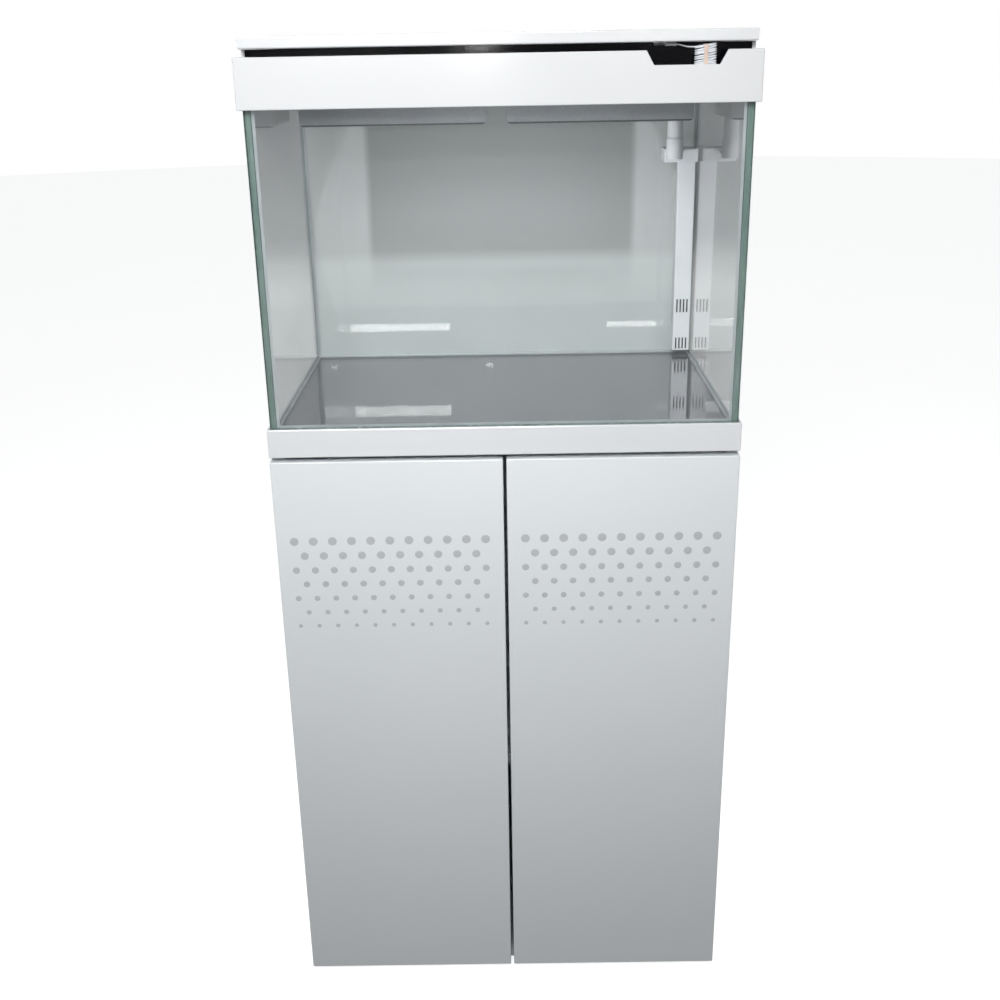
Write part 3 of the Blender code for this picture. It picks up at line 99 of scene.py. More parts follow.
SEAM_LEG = 0.0045
SEAM_OFF = 0.0003                       # gap between the sealant and the glass
SEAM_ARC_PARTS = 6
SEAM_STEP = 0.006
SEAM_SWELL = 0.10                       # share by which a bead's leg wavers
SEAM_SWELL_SCALE = 38
SEAM_HOLLOW = 0.92                      # share of the leg that the concave face reaches
SEAM_LIP = 0.06                         # a very small shift of that face along the first leg

WOOL_CUTS = 11
WOOL_CORNER_START = 1.7                 # on a cube two units wide, |x| + |y| + |z| where rounding begins
WOOL_CORNER_PULL = 0.05
WOOL_SHRINK = 0.98
WOOL_ROUGH_MIDDLE = 0.9                 # value of the noise that leaves the surface where it is
WOOL_ROUGHNESS = 0.06                   # share of the thinnest half size
WOOL_SCALE = 90

FLOOR_RADIUS = 14
FLOOR_SEGMENTS = 96
FLOOR_DROP = 0.0005

STRIP_FRONT = -3.0                      # where the strip lamps hang, behind the camera
STRIP_SPREAD = 70
STRIP_LAMPS = [                         # name, x, height, width, height of the lamp, watts
    ("upper_left_strip", -0.478, 1.500, 0.505, 0.030, 0.9),
    ("upper_right_strip", 0.558, 1.500, 0.244, 0.022, 0.35),
    ("lower_left_strip", -0.513, 1.865, 0.565, 0.045, 1.9),
    ("lower_right_strip", 0.800, 1.865, 0.325, 0.028, 0.6)]
WHITE = (1, 1, 1)
# name, place, point aimed at, width and height, watts, colour, spread, hidden from sight and mirrors
LAMPS = [
    ("front_light", (-0.25, -1.7, 1.95), (0, -0.2, 1.15), (0.9, 0.6), 10, (1, 0.99, 0.98), 95, False),
    ("overhead_light", (0, -0.5, 3.2), (0, -0.3, 0), (2.0, 1.6), 4, WHITE, 180, False),
    ("back_light", (0, 1.4, 1.2), (0, 0.2, 1.05), (1.5, 0.7), 16, WHITE, 100, True),
    ("tank_light", (0, -0.03, 1.192), (0, -0.03, 0.9), (0.46, 0.14), 0.3, WHITE, 100, True),
    ("camera_lamp", (-0.045, -1.66, 1.33), (0, 0, 1.1), (0.02, 0.012), 0.5, WHITE, 180, False),
    ("hood_light", (0, 0.02, 1.0), (0, 0.06, 1.3), (0.4, 0.1), 1.1, WHITE, 180, True)]
FLOOR_GLOW = 0.75
FLOOR_LIGHT = (0.10, 0.105, 0.105)
WALL_LIGHT = (0.22, 0.225, 0.23)
CEILING_LIGHT = (0.20, 0.205, 0.21)
BACKDROP = (1.0, 1.0, 1.0)
FLOOR_SEEN = (0.62, 0.63, 0.63)
FLOOR_EDGE = (-0.18, -0.14)             # sine of the elevation, where the distant floor meets the walls
CEILING_EDGE = (0.25, 0.5)

FILM_PALE = (0.62, 0.65, 0.655)
FILM_SHADE = (0.565, 0.595, 0.60)
# painted shade: a darker band across the top of the film, from its lower edge to its top
FILM_PAINTED_SHADE_LOW = (0.43, 0.445, 0.45)
FILM_PAINTED_SHADE_HIGH = (0.37, 0.385, 0.39)
FILM_PAINTED_SHADE_EDGE = (0.992, 1.012)         # heights between which the painted shade sets in and the film turns darker
FILM_PAINTED_SHADE_HEIGHTS = (1.010, 1.200)
FILM_PAINTED_LIGHT = (0.72, 0.74, 0.745)         # painted light: a paler strip up each side of the film
FILM_PAINTED_LIGHT_EDGE = (0.192, 0.203)        # distances from the middle between which they start
FILM_PAINTED_LIGHT_SHARE = 0.55                 # share of their own colour that they take at most
FILM_PAINTED_LIGHT_HEIGHTS = (0.93, 1.02)       # heights between which they set in

PUMP_WHITE = (0.78, 0.81, 0.84)
PUMP_SHADE = (0.72, 0.75, 0.79)
TRAY_RIM_PAINTED_SHADE = (0.09, 0.095, 0.10)
TRAY_RIM_PAINTED_SHADE_RAMPS = [("Z", 1.2036, 1.2030)]                               # painted shade along the trays' lower rims
# painted shade over the inside of the intake column, behind its front face and between its sides
COLUMN_PAINTED_SHADE = (0.03, 0.032, 0.034)
COLUMN_PAINTED_SHADE_RAMPS = [("Y", 0.1684, 0.1690), ("X", 0.2606, 0.2612), ("X", 0.2849, 0.2843)]

GLASS_GREEN = (0.19, 0.262, 0.245)
GLASS_GREEN_DARK = (0.085, 0.15, 0.13)


# ------------------------------------------------------------------ camera
def make_camera():
    """The camera, from where it stands and the three angles that it is held at."""
    ahead = Vector((math.sin(CAMERA_YAW) * math.cos(CAMERA_PITCH),
                    math.cos(CAMERA_YAW) * math.cos(CAMERA_PITCH), -math.sin(CAMERA_PITCH)))
    level = Vector((math.cos(CAMERA_YAW), -math.sin(CAMERA_YAW), 0))
    down = ahead.cross(level)
    if down.z > 0:
        down.negate()
    right = math.cos(CAMERA_ROLL) * level + math.sin(CAMERA_ROLL) * down
    down = -math.sin(CAMERA_ROLL) * level + math.cos(CAMERA_ROLL) * down
    data = bpy.data.cameras.new("camera")
    data.sensor_width = CAMERA_SENSOR
    data.lens = CAMERA_LENS
    data.clip_start = CAMERA_NEAR
    camera = bpy.data.objects.new("camera", data)
    turn = Matrix((right, -down, -ahead)).transposed()
    camera.matrix_world = Matrix.Translation(CAMERA_PLACE) @ turn.to_4x4()
    bpy.context.scene.collection.objects.link(camera)
    bpy.context.scene.camera = camera


# ------------------------------------------------------------------ node helpers
def new_material(name):
    """A material with an empty Principled surface, as (material, nodes, links, principled)."""
    material = bpy.data.materials.new(name)
    material.use_nodes = True
    nodes = material.node_tree.nodes
    return material, nodes, material.node_tree.links, nodes["Principled BSDF"]


def coordinates(nodes, links, stretch=(1, 1, 1)):
    """The piece's own coordinates in metres, stretched along the axes."""
    place = nodes.new("ShaderNodeTexCoord")
    mapping = nodes.new("ShaderNodeMapping")
    mapping.inputs["Scale"].default_value = stretch
    links.new(place.outputs["Object"], mapping.inputs["Vector"])
    return mapping.outputs["Vector"]


def noise_of(nodes, links, where, scale, detail=3.0, roughness=0.5):
    """Cloudy noise from 0 to 1."""
    texture = nodes.new("ShaderNodeTexNoise")
    texture.inputs["Scale"].default_value = scale
    texture.inputs["Detail"].default_value = detail
    texture.inputs["Roughness"].default_value = roughness
    links.new(where, texture.inputs["Vector"])
    return texture.outputs["Fac"]


def ranged(nodes, links, value, low, high, start=0.3, end=0.7):
    """value from start to end becomes low to high, and stays within them."""
    step = nodes.new("ShaderNodeMapRange")
    for key, number in (("From Min", start), ("From Max", end), ("To Min", low), ("To Max", high)):
        step.inputs[key].default_value = number
    links.new(value, step.inputs["Value"])
    return step.outputs["Result"]


def mixed(nodes, links, share, first, second):
    """A colour from first to second, which are colours or sockets."""
    mix = nodes.new("ShaderNodeMix")
    mix.data_type = "RGBA"
    links.new(share, mix.inputs["Factor"])
    for socket, colour in ((mix.inputs[6], first), (mix.inputs[7], second)):
        if isinstance(colour, bpy.types.NodeSocket):
            links.new(colour, socket)
        else:
            socket.default_value = (*colour, 1)
    return mix.outputs[2]


def math_of(nodes, links, operation, *values):
    """One maths step on one or two sockets."""
    step = nodes.new("ShaderNodeMath")
    step.operation = operation
    for socket, value in zip(step.inputs, values):
        links.new(value, socket)
    return step.outputs[0]


def blended(nodes, links, share, first, second):
    """A mix of two surfaces; share is a number or a socket."""
    mix = nodes.new("ShaderNodeMixShader")
    if isinstance(share, bpy.types.NodeSocket):
        links.new(share, mix.inputs["Fac"])
    else:
        mix.inputs["Fac"].default_value = share
    links.new(first, mix.inputs[1])
    links.new(second, mix.inputs[2])
    return mix.outputs["Shader"]


def bumped(nodes, links, height, distance, strength=1.0):
    """A surface normal that follows a relief distance metres deep."""
    bump = nodes.new("ShaderNodeBump")
    bump.inputs["Strength"].default_value = strength
    bump.inputs["Distance"].default_value = distance
    links.new(height, bump.inputs["Height"])
    return bump.outputs["Normal"]


def plain_surface(name, colour, shade, roughness, mottle=6.0, grain=400.0, spread=0.05, relief=0.00003,
                  stretch=(1, 1, 1), metallic=0.0, coat=0.0, coat_roughness=0.08, specular=0.5):
    """A solid finish: cloudy colour, fine grain in the roughness and a shallow relief."""
    material, nodes, links, surface = new_material(name)
    where = coordinates(nodes, links, stretch)
    clouds = noise_of(nodes, links, where, scale=mottle, detail=4)
    grains = noise_of(nodes, links, where, scale=grain, detail=2)
    links.new(mixed(nodes, links, ranged(nodes, links, clouds, 0, 1), colour, shade),
              surface.inputs["Base Color"])
    links.new(ranged(nodes, links, grains, roughness - spread, roughness + spread),
              surface.inputs["Roughness"])
    links.new(bumped(nodes, links, grains, distance=relief), surface.inputs["Normal"])
    surface.inputs["Metallic"].default_value = metallic
    surface.inputs["Coat Weight"].default_value = coat
    surface.inputs["Coat Roughness"].default_value = coat_roughness
    surface.inputs["Specular IOR Level"].default_value = specular
    return material


def paint(material, *names):
    """Gives CAD nodes a material, in the slots that they have."""
    for name in names:
        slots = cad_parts[name].material_slots
        if slots:
            for one in slots:
                one.material = material
        else:
            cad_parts[name].data.materials.append(material)


# ------------------------------------------------------------------ mesh helpers
def new_piece(name, body, material, mesh, smooth=35):
    """A mesh object that rides on a body, smooth up to an angle in degrees."""
    mesh.shade_smooth()
    mesh.set_sharp_from_angle(angle=math.radians(smooth))
    piece = bpy.data.objects.new(name, mesh)
    mesh.materials.append(material)
    bpy.context.scene.collection.objects.link(piece)
    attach(piece, body)
    return piece


def mesh_of(name, verts, faces):
    """A closed mesh with its faces pointing out."""
    mesh = bpy.data.meshes.new(name)
    mesh.from_pydata(verts, [], faces)
    bm = bmesh.new()
    bm.from_mesh(mesh)
    bmesh.ops.recalc_face_normals(bm, faces=bm.faces)
    bm.to_mesh(mesh)
    bm.free()
    return mesh


def strip_faces(first, second, sides):
    """The faces between two rings of vertices, given by the number of each ring's first vertex."""
    turns = [(i, (i + 1) % sides) for i in range(sides)]
    return [(first + i, first + j, second + j, second + i) for i, j in turns]


# ------------------------------------------------------------------ the lead
def smooth_points(points, parts):
    """A smooth curve through the points, with parts steps for each stretch."""
    ends = [points[0], *points, points[-1]]
    line = []
    for i in range(1, len(ends) - 2):
        a, b, c, d = (Vector(p) for p in ends[i - 1:i + 3])
        for step in range(parts):
            t = step / parts
            line.append(0.5 * (2 * b + (c - a) * t + (2 * a - 5 * b + 4 * c - d) * t * t
                               + (3 * b - a - 3 * c + d) * t ** 3))
    return line + [Vector(points[-1])]


def hank_outline():
    """One turn of the hank from above: back run, right fold, front run, left fold."""
    x, y = HANK_CENTRE
    half, r = HANK_RUN / 2, HANK_FOLD_RADIUS
    turn = [(x - half + HANK_RUN * i / HANK_RUN_PARTS, y + r) for i in range(HANK_RUN_PARTS)]
    turn += [(x + half + r * math.sin(math.pi * i / HANK_FOLD_PARTS),
              y + r * math.cos(math.pi * i / HANK_FOLD_PARTS)) for i in range(HANK_FOLD_PARTS)]
    turn += [(x + half - HANK_RUN * i / HANK_RUN_PARTS, y - r) for i in range(HANK_RUN_PARTS)]
    turn += [(x - half - r * math.sin(math.pi * i / HANK_FOLD_PARTS),
              y - r * math.cos(math.pi * i / HANK_FOLD_PARTS)) for i in range(HANK_FOLD_PARTS)]
    return turn


def hank_points():
    """The turns of the hank, one under the other, tilted at the top and level at the bottom."""
    outline = hank_outline()
    close = (HANK_TOP - HANK_BOTTOM - sum(HANK_PITCHES)) / (HANK_CLOSE_TURNS + HANK_RUN_PARTS / len(outline))
    pitches = HANK_PITCHES + [close] * (HANK_CLOSE_TURNS + 1)
    count = (len(pitches) - 1) * len(outline) + HANK_RUN_PARTS + 1
    left = HANK_CENTRE[0] - HANK_RUN / 2 - HANK_FOLD_RADIUS
    wide = HANK_RUN + 2 * HANK_FOLD_RADIUS
    line = []
    for i in range(count):
        x, y = outline[i % len(outline)]
        share = i / (count - 1)
        tilt = HANK_TILT * (1 - share) * (x - left) / wide
        turn, part = divmod(i, len(outline))
        drop = sum(pitches[:turn]) + pitches[turn] * part / len(outline)
        line.append(Vector((x, y, HANK_TOP - drop + tilt)))
    return line


def make_lead():
    """The lamp's lead: out of the gland, over the riser, through its clip, round the hank to its plug."""
    line = smooth_points(LEAD_ROUTE, 3) + hank_points() + smooth_points(TAIL_ROUTE, 4)
    curve = bpy.data.curves.new("lamp_lead_cord", "CURVE")
    curve.dimensions = "3D"
    curve.bevel_depth = LEAD_DIAMETER / 2
    curve.bevel_resolution = 2
    curve.use_fill_caps = True
    spline = curve.splines.new("POLY")
    spline.points.add(len(line) - 1)
    for point, place in zip(spline.points, line):
        point.co = (*place, 1)
    spline.use_smooth = True
    lead = bpy.data.objects.new("lamp_lead_cord", curve)
    curve.materials.append(lead_material())
    bpy.context.scene.collection.objects.link(lead)
    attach(lead, "root")
    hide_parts("lamp_lead", "lead_hank", "lead_tail")
    tie = make_tie()
    return lead


def lead_material():
    """Glossy clear-white sleeve over bright tinned wire."""
    material, nodes, links, surface = new_material("lead_sleeve")
    where = coordinates(nodes, links)
    strands = noise_of(nodes, links, where, scale=900, detail=2)
    tone = mixed(nodes, links, ranged(nodes, links, strands, 0, 1), (0.86, 0.88, 0.90), (0.62, 0.66, 0.72))
    links.new(tone, surface.inputs["Base Color"])
    links.new(ranged(nodes, links, strands, 0.18, 0.34), surface.inputs["Roughness"])
    surface.inputs["Coat Weight"].default_value = 0.6
    surface.inputs["Coat Roughness"].default_value = 0.06
    return material


def make_tie():
    """A flat band round the middle of the hank, upright, with rounded corners."""
    x, y = HANK_CENTRE
    gap = LEAD_DIAMETER / 2 + TIE_THICKNESS / 2 + TIE_SLACK
    low = HANK_BOTTOM - gap + TIE_CORNER_RADIUS
    high = HANK_TOP + HANK_TILT / 2 + gap - TIE_CORNER_RADIUS
    deep = HANK_FOLD_RADIUS + gap - TIE_CORNER_RADIUS
    loop = []
    for cy, cz, start in ((deep, high, 0), (-deep, high, 90), (-deep, low, 180), (deep, low, 270)):
        for i in range(TIE_CORNER_PARTS + 1):
            a = math.radians(start + 90 * i / TIE_CORNER_PARTS)
            loop.append((y + cy, cz, math.cos(a), math.sin(a)))
    verts, faces = [], []
    for cy, cz, c, s in loop:
        for side in (-1, 1):
            for i in range(TIE_PARTS_ACROSS + 1):
                u = (0.5 - i / TIE_PARTS_ACROSS) * side
                reach = TIE_CORNER_RADIUS + side * TIE_THICKNESS / 2 * (1 - TIE_CROWN * (2 * u) ** 4)
                verts.append((x + u * TIE_WIDTH, cy + reach * c, cz + reach * s))
    ring = 2 * (TIE_PARTS_ACROSS + 1)
    for i in range(len(loop)):
        faces += strip_faces(i * ring, (i + 1) % len(loop) * ring, ring)
    material = plain_surface("tie_band", (0.62, 0.49, 0.42), (0.46, 0.35, 0.30), roughness=0.45,
                             mottle=120, grain=2500)
    return new_piece("lead_tie", "root", material, mesh_of("lead_tie", verts, faces))


# ------------------------------------------------------------------ finishes
def glass_material(name, edge_axes):
    """Float glass: clear through its faces, green at its ground edges, which face along edge_axes."""
    material, nodes, links, surface = new_material(name)
    where = coordinates(nodes, links, (1, 1, 0.35))
    wiped = noise_of(nodes, links, where, scale=9, detail=5, roughness=0.6)
    links.new(ranged(nodes, links, wiped, 0.0, 0.02, 0.5, 0.8), surface.inputs["Roughness"])
    surface.inputs["Base Color"].default_value = (1, 1, 1, 1)
    surface.inputs["Transmission Weight"].default_value = 1
    surface.inputs["IOR"].default_value = 1.5
    clear = nodes.new("ShaderNodeBsdfTransparent")
    clear.inputs["Color"].default_value = (0.95, 0.965, 0.96, 1)
    path = nodes.new("ShaderNodeLightPath")
    shadow, diffuse = path.outputs["Is Shadow Ray"], path.outputs["Is Diffuse Ray"]
    soft_light = math_of(nodes, links, "MAXIMUM", shadow, diffuse)
    faces = blended(nodes, links, soft_light, surface.outputs["BSDF"], clear.outputs["BSDF"])
    edge = nodes.new("ShaderNodeBsdfPrincipled")
    streaks = noise_of(nodes, links, coordinates(nodes, links, (1, 1, 0.12)), scale=160, detail=4,
                       roughness=0.6)
    tone = mixed(nodes, links, ranged(nodes, links, streaks, 0, 1), GLASS_GREEN, GLASS_GREEN_DARK)
    links.new(tone, edge.inputs["Base Color"])
    links.new(ranged(nodes, links, streaks, 0.14, 0.34), edge.inputs["Roughness"])
    links.new(bumped(nodes, links, streaks, distance=0.0001), edge.inputs["Normal"])
    split = nodes.new("ShaderNodeSeparateXYZ")
    links.new(nodes["Texture Coordinate"].outputs["Normal"], split.inputs["Vector"])
    one, other = (math_of(nodes, links, "ABSOLUTE", split.outputs[axis]) for axis in edge_axes)
    on_edge = ranged(nodes, links, math_of(nodes, links, "MAXIMUM", one, other), 0, 1, 0.6, 0.8)
    whole = blended(nodes, links, on_edge, faces, edge.outputs["BSDF"])
    links.new(whole, nodes["Material Output"].inputs["Surface"])
    return material


def film_material():
    """Frosted film on the back of the tank, pale grey and cloudy, with painted shade across the top and
    painted light up its sides.
    """
    material, nodes, links, surface = new_material("frosted_film")
    where = coordinates(nodes, links)
    clouds = noise_of(nodes, links, where, scale=5, detail=5, roughness=0.55)
    fine = noise_of(nodes, links, where, scale=1800, detail=2)
    colour = mixed(nodes, links, ranged(nodes, links, clouds, 0, 1), FILM_PALE, FILM_SHADE)
    split = nodes.new("ShaderNodeSeparateXYZ")
    links.new(where, split.inputs["Vector"])
    height = split.outputs["Z"]
    # painted shade: the film turns darker across its top
    band = ranged(nodes, links, height, 0, 1, *FILM_PAINTED_SHADE_EDGE)
    top = mixed(nodes, links, ranged(nodes, links, height, 0, 1, *FILM_PAINTED_SHADE_HEIGHTS), FILM_PAINTED_SHADE_LOW, FILM_PAINTED_SHADE_HIGH)
    colour = mixed(nodes, links, band, colour, top)
    # painted light: paler strips up each side of the film, setting in towards the top
    sideways = math_of(nodes, links, "ABSOLUTE", split.outputs["X"])
    painted_light_strip = ranged(nodes, links, sideways, 0, 1, *FILM_PAINTED_LIGHT_EDGE)
    painted_light_amount = ranged(nodes, links, height, 0, FILM_PAINTED_LIGHT_SHARE, *FILM_PAINTED_LIGHT_HEIGHTS)
    colour = mixed(nodes, links, math_of(nodes, links, "MULTIPLY", painted_light_strip, painted_light_amount), colour, FILM_PAINTED_LIGHT)
    links.new(colour, surface.inputs["Base Color"])
    links.new(ranged(nodes, links, fine, 0.42, 0.6), surface.inputs["Roughness"])
    links.new(bumped(nodes, links, fine, distance=0.00002), surface.inputs["Normal"])
    through = nodes.new("ShaderNodeBsdfTranslucent")
    links.new(colour, through.inputs["Color"])
    whole = blended(nodes, links, 0.5, surface.outputs["BSDF"], through.outputs["BSDF"])
    links.new(whole, nodes["Material Output"].inputs["Surface"])
    return material


def foam_material():
    """Dark closed-cell foam with its cells showing."""
    material, nodes, links, surface = new_material("foam_cells")
    where = coordinates(nodes, links)
    cells = nodes.new("ShaderNodeTexVoronoi")
    cells.inputs["Scale"].default_value = 700
    links.new(where, cells.inputs["Vector"])
    clouds = noise_of(nodes, links, where, scale=12, detail=4)
    cloudy = ranged(nodes, links, clouds, 0, 1)
    tone = mixed(nodes, links, cloudy, (0.060, 0.060, 0.074), (0.044, 0.044, 0.056))
    links.new(tone, surface.inputs["Base Color"])
    links.new(ranged(nodes, links, cells.outputs["Distance"], 0.75, 0.95, 0, 1), surface.inputs["Roughness"])
    links.new(bumped(nodes, links, cells.outputs["Distance"], distance=0.0004), surface.inputs["Normal"])
    return material


def milky_material(name, colour, shade, clear, roughness=0.25, scale=14, through=0.3):
    """Cloudy see-through plastic: part solid, part clear, with soft flow marks."""
    material, nodes, links, surface = new_material(name)
    where = coordinates(nodes, links, (1, 1, 0.5))
    flow = noise_of(nodes, links, where, scale=scale, detail=4, roughness=0.55)
    fine = noise_of(nodes, links, where, scale=600, detail=2)
    tone = mixed(nodes, links, ranged(nodes, links, flow, 0, 1), colour, shade)
    links.new(tone, surface.inputs["Base Color"])
    links.new(ranged(nodes, links, fine, roughness - 0.06, roughness + 0.06), surface.inputs["Roughness"])
    links.new(bumped(nodes, links, flow, distance=0.0003, strength=0.4), surface.inputs["Normal"])
    seen = nodes.new("ShaderNodeBsdfTransparent")
    glow = nodes.new("ShaderNodeBsdfTranslucent")
    links.new(tone, glow.inputs["Color"])
    cloudy = blended(nodes, links, through, surface.outputs["BSDF"], glow.outputs["BSDF"])
    whole = blended(nodes, links, clear, cloudy, seen.outputs["BSDF"])
    links.new(whole, nodes["Material Output"].inputs["Surface"])
    return material


def wool_material():
    """White polyester wool, in crossing fibres."""
    material, nodes, links, surface = new_material("filter_wool")
    where = coordinates(nodes, links, (1, 3, 6))
    fibres = noise_of(nodes, links, where, scale=260, detail=6, roughness=0.75)
    tone = mixed(nodes, links, ranged(nodes, links, fibres, 0, 1), (0.84, 0.86, 0.87), (0.62, 0.66, 0.68))
    links.new(tone, surface.inputs["Base Color"])
    links.new(ranged(nodes, links, fibres, 0.8, 1.0), surface.inputs["Roughness"])
    links.new(bumped(nodes, links, fibres, distance=0.0012), surface.inputs["Normal"])
    surface.inputs["Sheen Weight"].default_value = 0.4
    return material


def paint_shade_within(material, dark, limits):
    """Paints shade into a finish: darkens it in a region, by (axis, start, end) ramps that are plain at
    start and dark at end.
    """
    nodes, links = material.node_tree.nodes, material.node_tree.links
    tone = nodes["Principled BSDF"].inputs["Base Color"]
    colour = tone.links[0].from_socket
    split = nodes.new("ShaderNodeSeparateXYZ")
    links.new(nodes["Texture Coordinate"].outputs["Object"], split.inputs["Vector"])
    share = None
    for axis, start, end in limits:
        ramp = ranged(nodes, links, split.outputs[axis], 0, 1, start, end)
        share = ramp if share is None else math_of(nodes, links, "MULTIPLY", share, ramp)
    links.new(mixed(nodes, links, share, colour, dark), tone)
    return material


def paint_nodes():
    """Finishes of the CAD nodes, with painted shade on the trays' lower rims and inside the intake column.
    """
    lacquer = plain_surface("door_lacquer", (0.79, 0.825, 0.845), (0.76, 0.80, 0.82), roughness=0.30,
                            mottle=3.2, grain=900, spread=0.04, relief=0.000012, coat=0.35,
                            coat_roughness=0.12)
    laminate = plain_surface("white_laminate", (0.79, 0.81, 0.83), (0.74, 0.765, 0.785), roughness=0.42,
                             mottle=5, grain=1200, spread=0.06, relief=0.00002)
    glossy = plain_surface("hood_gloss", (0.64, 0.655, 0.67), (0.615, 0.63, 0.645), roughness=0.16,
                           mottle=4, grain=500, spread=0.04, relief=0.000008, coat=0.6,
                           coat_roughness=0.05)
    trim = plain_surface("trim_gloss", (0.74, 0.76, 0.78), (0.70, 0.725, 0.75), roughness=0.20, mottle=4,
                         grain=500, spread=0.04, relief=0.000008, coat=0.5, coat_roughness=0.06)
    black = plain_surface("riser_gloss", (0.0010, 0.0010, 0.0022), (0.0005, 0.0005, 0.0012),
                          roughness=0.10, mottle=8, grain=500, spread=0.04, relief=0.000006,
                          specular=0.22)
    steel = plain_surface("nickel_steel", (0.62, 0.61, 0.60), (0.50, 0.50, 0.50), roughness=0.28,
                          mottle=60, grain=900, spread=0.08, relief=0.00001, metallic=1.0)
    grey = plain_surface("grey_plastic", (0.30, 0.31, 0.32), (0.26, 0.27, 0.28), roughness=0.5, mottle=30,
                         grain=900, spread=0.06, relief=0.00003)
    pump = plain_surface("pump_white", PUMP_WHITE, PUMP_SHADE, roughness=0.34, mottle=20, grain=900,
                         spread=0.05, relief=0.00002)
    tray = plain_surface("tray_grey_painted_shade", (0.36, 0.38, 0.40), (0.32, 0.34, 0.36), roughness=0.26, mottle=16,
                         grain=700, spread=0.05, relief=0.00002, coat=0.3)
    # painted shade: the trays darken along their lower rims
    paint_shade_within(tray, TRAY_RIM_PAINTED_SHADE, TRAY_RIM_PAINTED_SHADE_RAMPS)
    column = plain_surface("column_white_painted_shade", PUMP_WHITE, PUMP_SHADE, roughness=0.34, mottle=20, grain=900,
                           spread=0.05, relief=0.00002)
    # painted shade: the column darkens inside, behind its front face and between its sides
    paint_shade_within(column, COLUMN_PAINTED_SHADE, COLUMN_PAINTED_SHADE_RAMPS)
    lens = milky_material("lens_white", (0.86, 0.88, 0.90), (0.80, 0.83, 0.86), clear=0.10)
    plug = plain_surface("plug_black", (0.012, 0.012, 0.014), (0.02, 0.02, 0.022), roughness=0.42,
                         mottle=80, grain=1500, spread=0.06, relief=0.00003)
    paint(lacquer, "left_door", "right_door")
    paint(laminate, "left_side", "right_side", "bottom_board", "shelf", "top_board", "back_panel")
    paint(glossy, "hood_surround", "lid", "left_lid_pin", "right_lid_pin")
    paint(trim, "base_trim")
    paint(black, "riser_front")
    paint(glossy, "riser_frame")
    paint(glass_material("float_glass_long", "XZ"), "front_pane", "back_pane")
    paint(glass_material("float_glass_side", "YZ"), "left_pane", "right_pane")
    paint(glass_material("float_glass_base", "XY"), "base_pane")
    paint(film_material(), "back_film")
    paint(foam_material(), "foam_mat")
    for side in ("left", "right"):
        for level in ("lower", "upper"):
            paint(steel, *(f"{side}_{level}_{piece}" for piece in ("cup", "arm", "link")))
        paint(grey, f"{side}_latch", f"{side}_plunger")
        paint(tray, f"{side}_tray")
        for end in ("front", "rear"):
            paint(grey, f"glide_{end}_{side}")
    paint(tray, "tray_rail")
    paint(column, "intake_column")
    paint(pump, "pump_housing", "riser_pipe", "pump_rotor", "lamp_housing", "lead_gland")
    paint(lens, "lamp_lens")
    paint(glossy, "lead_clip")
    paint(plug, "lead_plug")


# ------------------------------------------------------------------ pieces made here
def make_dots(name, body, start):
    """Rows of printed dots on a door, smaller row by row, long and short rows in turn."""
    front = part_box(body)[0].y
    turns = [2 * math.pi * i / DOT_SIDES for i in range(DOT_SIDES)]
    verts, faces = [], []
    for row, (height, across) in enumerate(DOT_ROWS):
        short = row % 2
        for column in range(DOTS_IN_LONG_ROW - short):
            x = start + DOT_PITCH * (column + 0.5 * short)
            base = len(verts)
            for share, lift in DOT_RINGS:
                r = across / 2 * share
                verts += [(x + r * math.cos(a), front - lift, height + r * math.sin(a)) for a in turns]
            for ring in range(len(DOT_RINGS) - 1):
                faces += strip_faces(base + ring * DOT_SIDES, base + (ring + 1) * DOT_SIDES, DOT_SIDES)
            faces.append(tuple(range(len(verts) - DOT_SIDES, len(verts))))
    mesh = bpy.data.meshes.new(name)
    mesh.from_pydata(verts, [], faces)
    ink = bpy.data.materials.get("dot_ink")
    if ink is None:
        ink = plain_surface("dot_ink", (0.53, 0.555, 0.58), (0.49, 0.515, 0.54), roughness=0.38,
                            mottle=90, grain=1600, spread=0.05, relief=0.00002)
    return new_piece(name, body, ink, mesh)


def seam_runs():
    """The corners that are sealed, as (start, end, one leg's direction, the other leg's direction)."""
    left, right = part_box("left_pane")[1].x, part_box("right_pane")[0].x
    front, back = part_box("front_pane")[1].y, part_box("back_pane")[0].y
    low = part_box("base_pane")[1].z + SEAM_OFF
    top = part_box("tank_seams")[1].z
    runs = []
    corners = [(left, front, 1, 1), (right, front, -1, 1), (right, back, -1, -1), (left, back, 1, -1)]
    for x, y, sx, sy in corners:
        place = (x + sx * SEAM_OFF, y + sy * SEAM_OFF)
        runs.append(((*place, low), (*place, top), (sx, 0, 0), (0, sy, 0)))
    for y, sy in ((front, 1), (back, -1)):
        level = y + sy * SEAM_OFF
        runs.append(((left + SEAM_OFF, level, low), (right - SEAM_OFF, level, low), (0, sy, 0), (0, 0, 1)))
    for x, sx in ((left, 1), (right, -1)):
        level = x + sx * SEAM_OFF
        runs.append(((level, front + SEAM_OFF, low), (level, back - SEAM_OFF, low), (sx, 0, 0), (0, 0, 1)))
    return runs


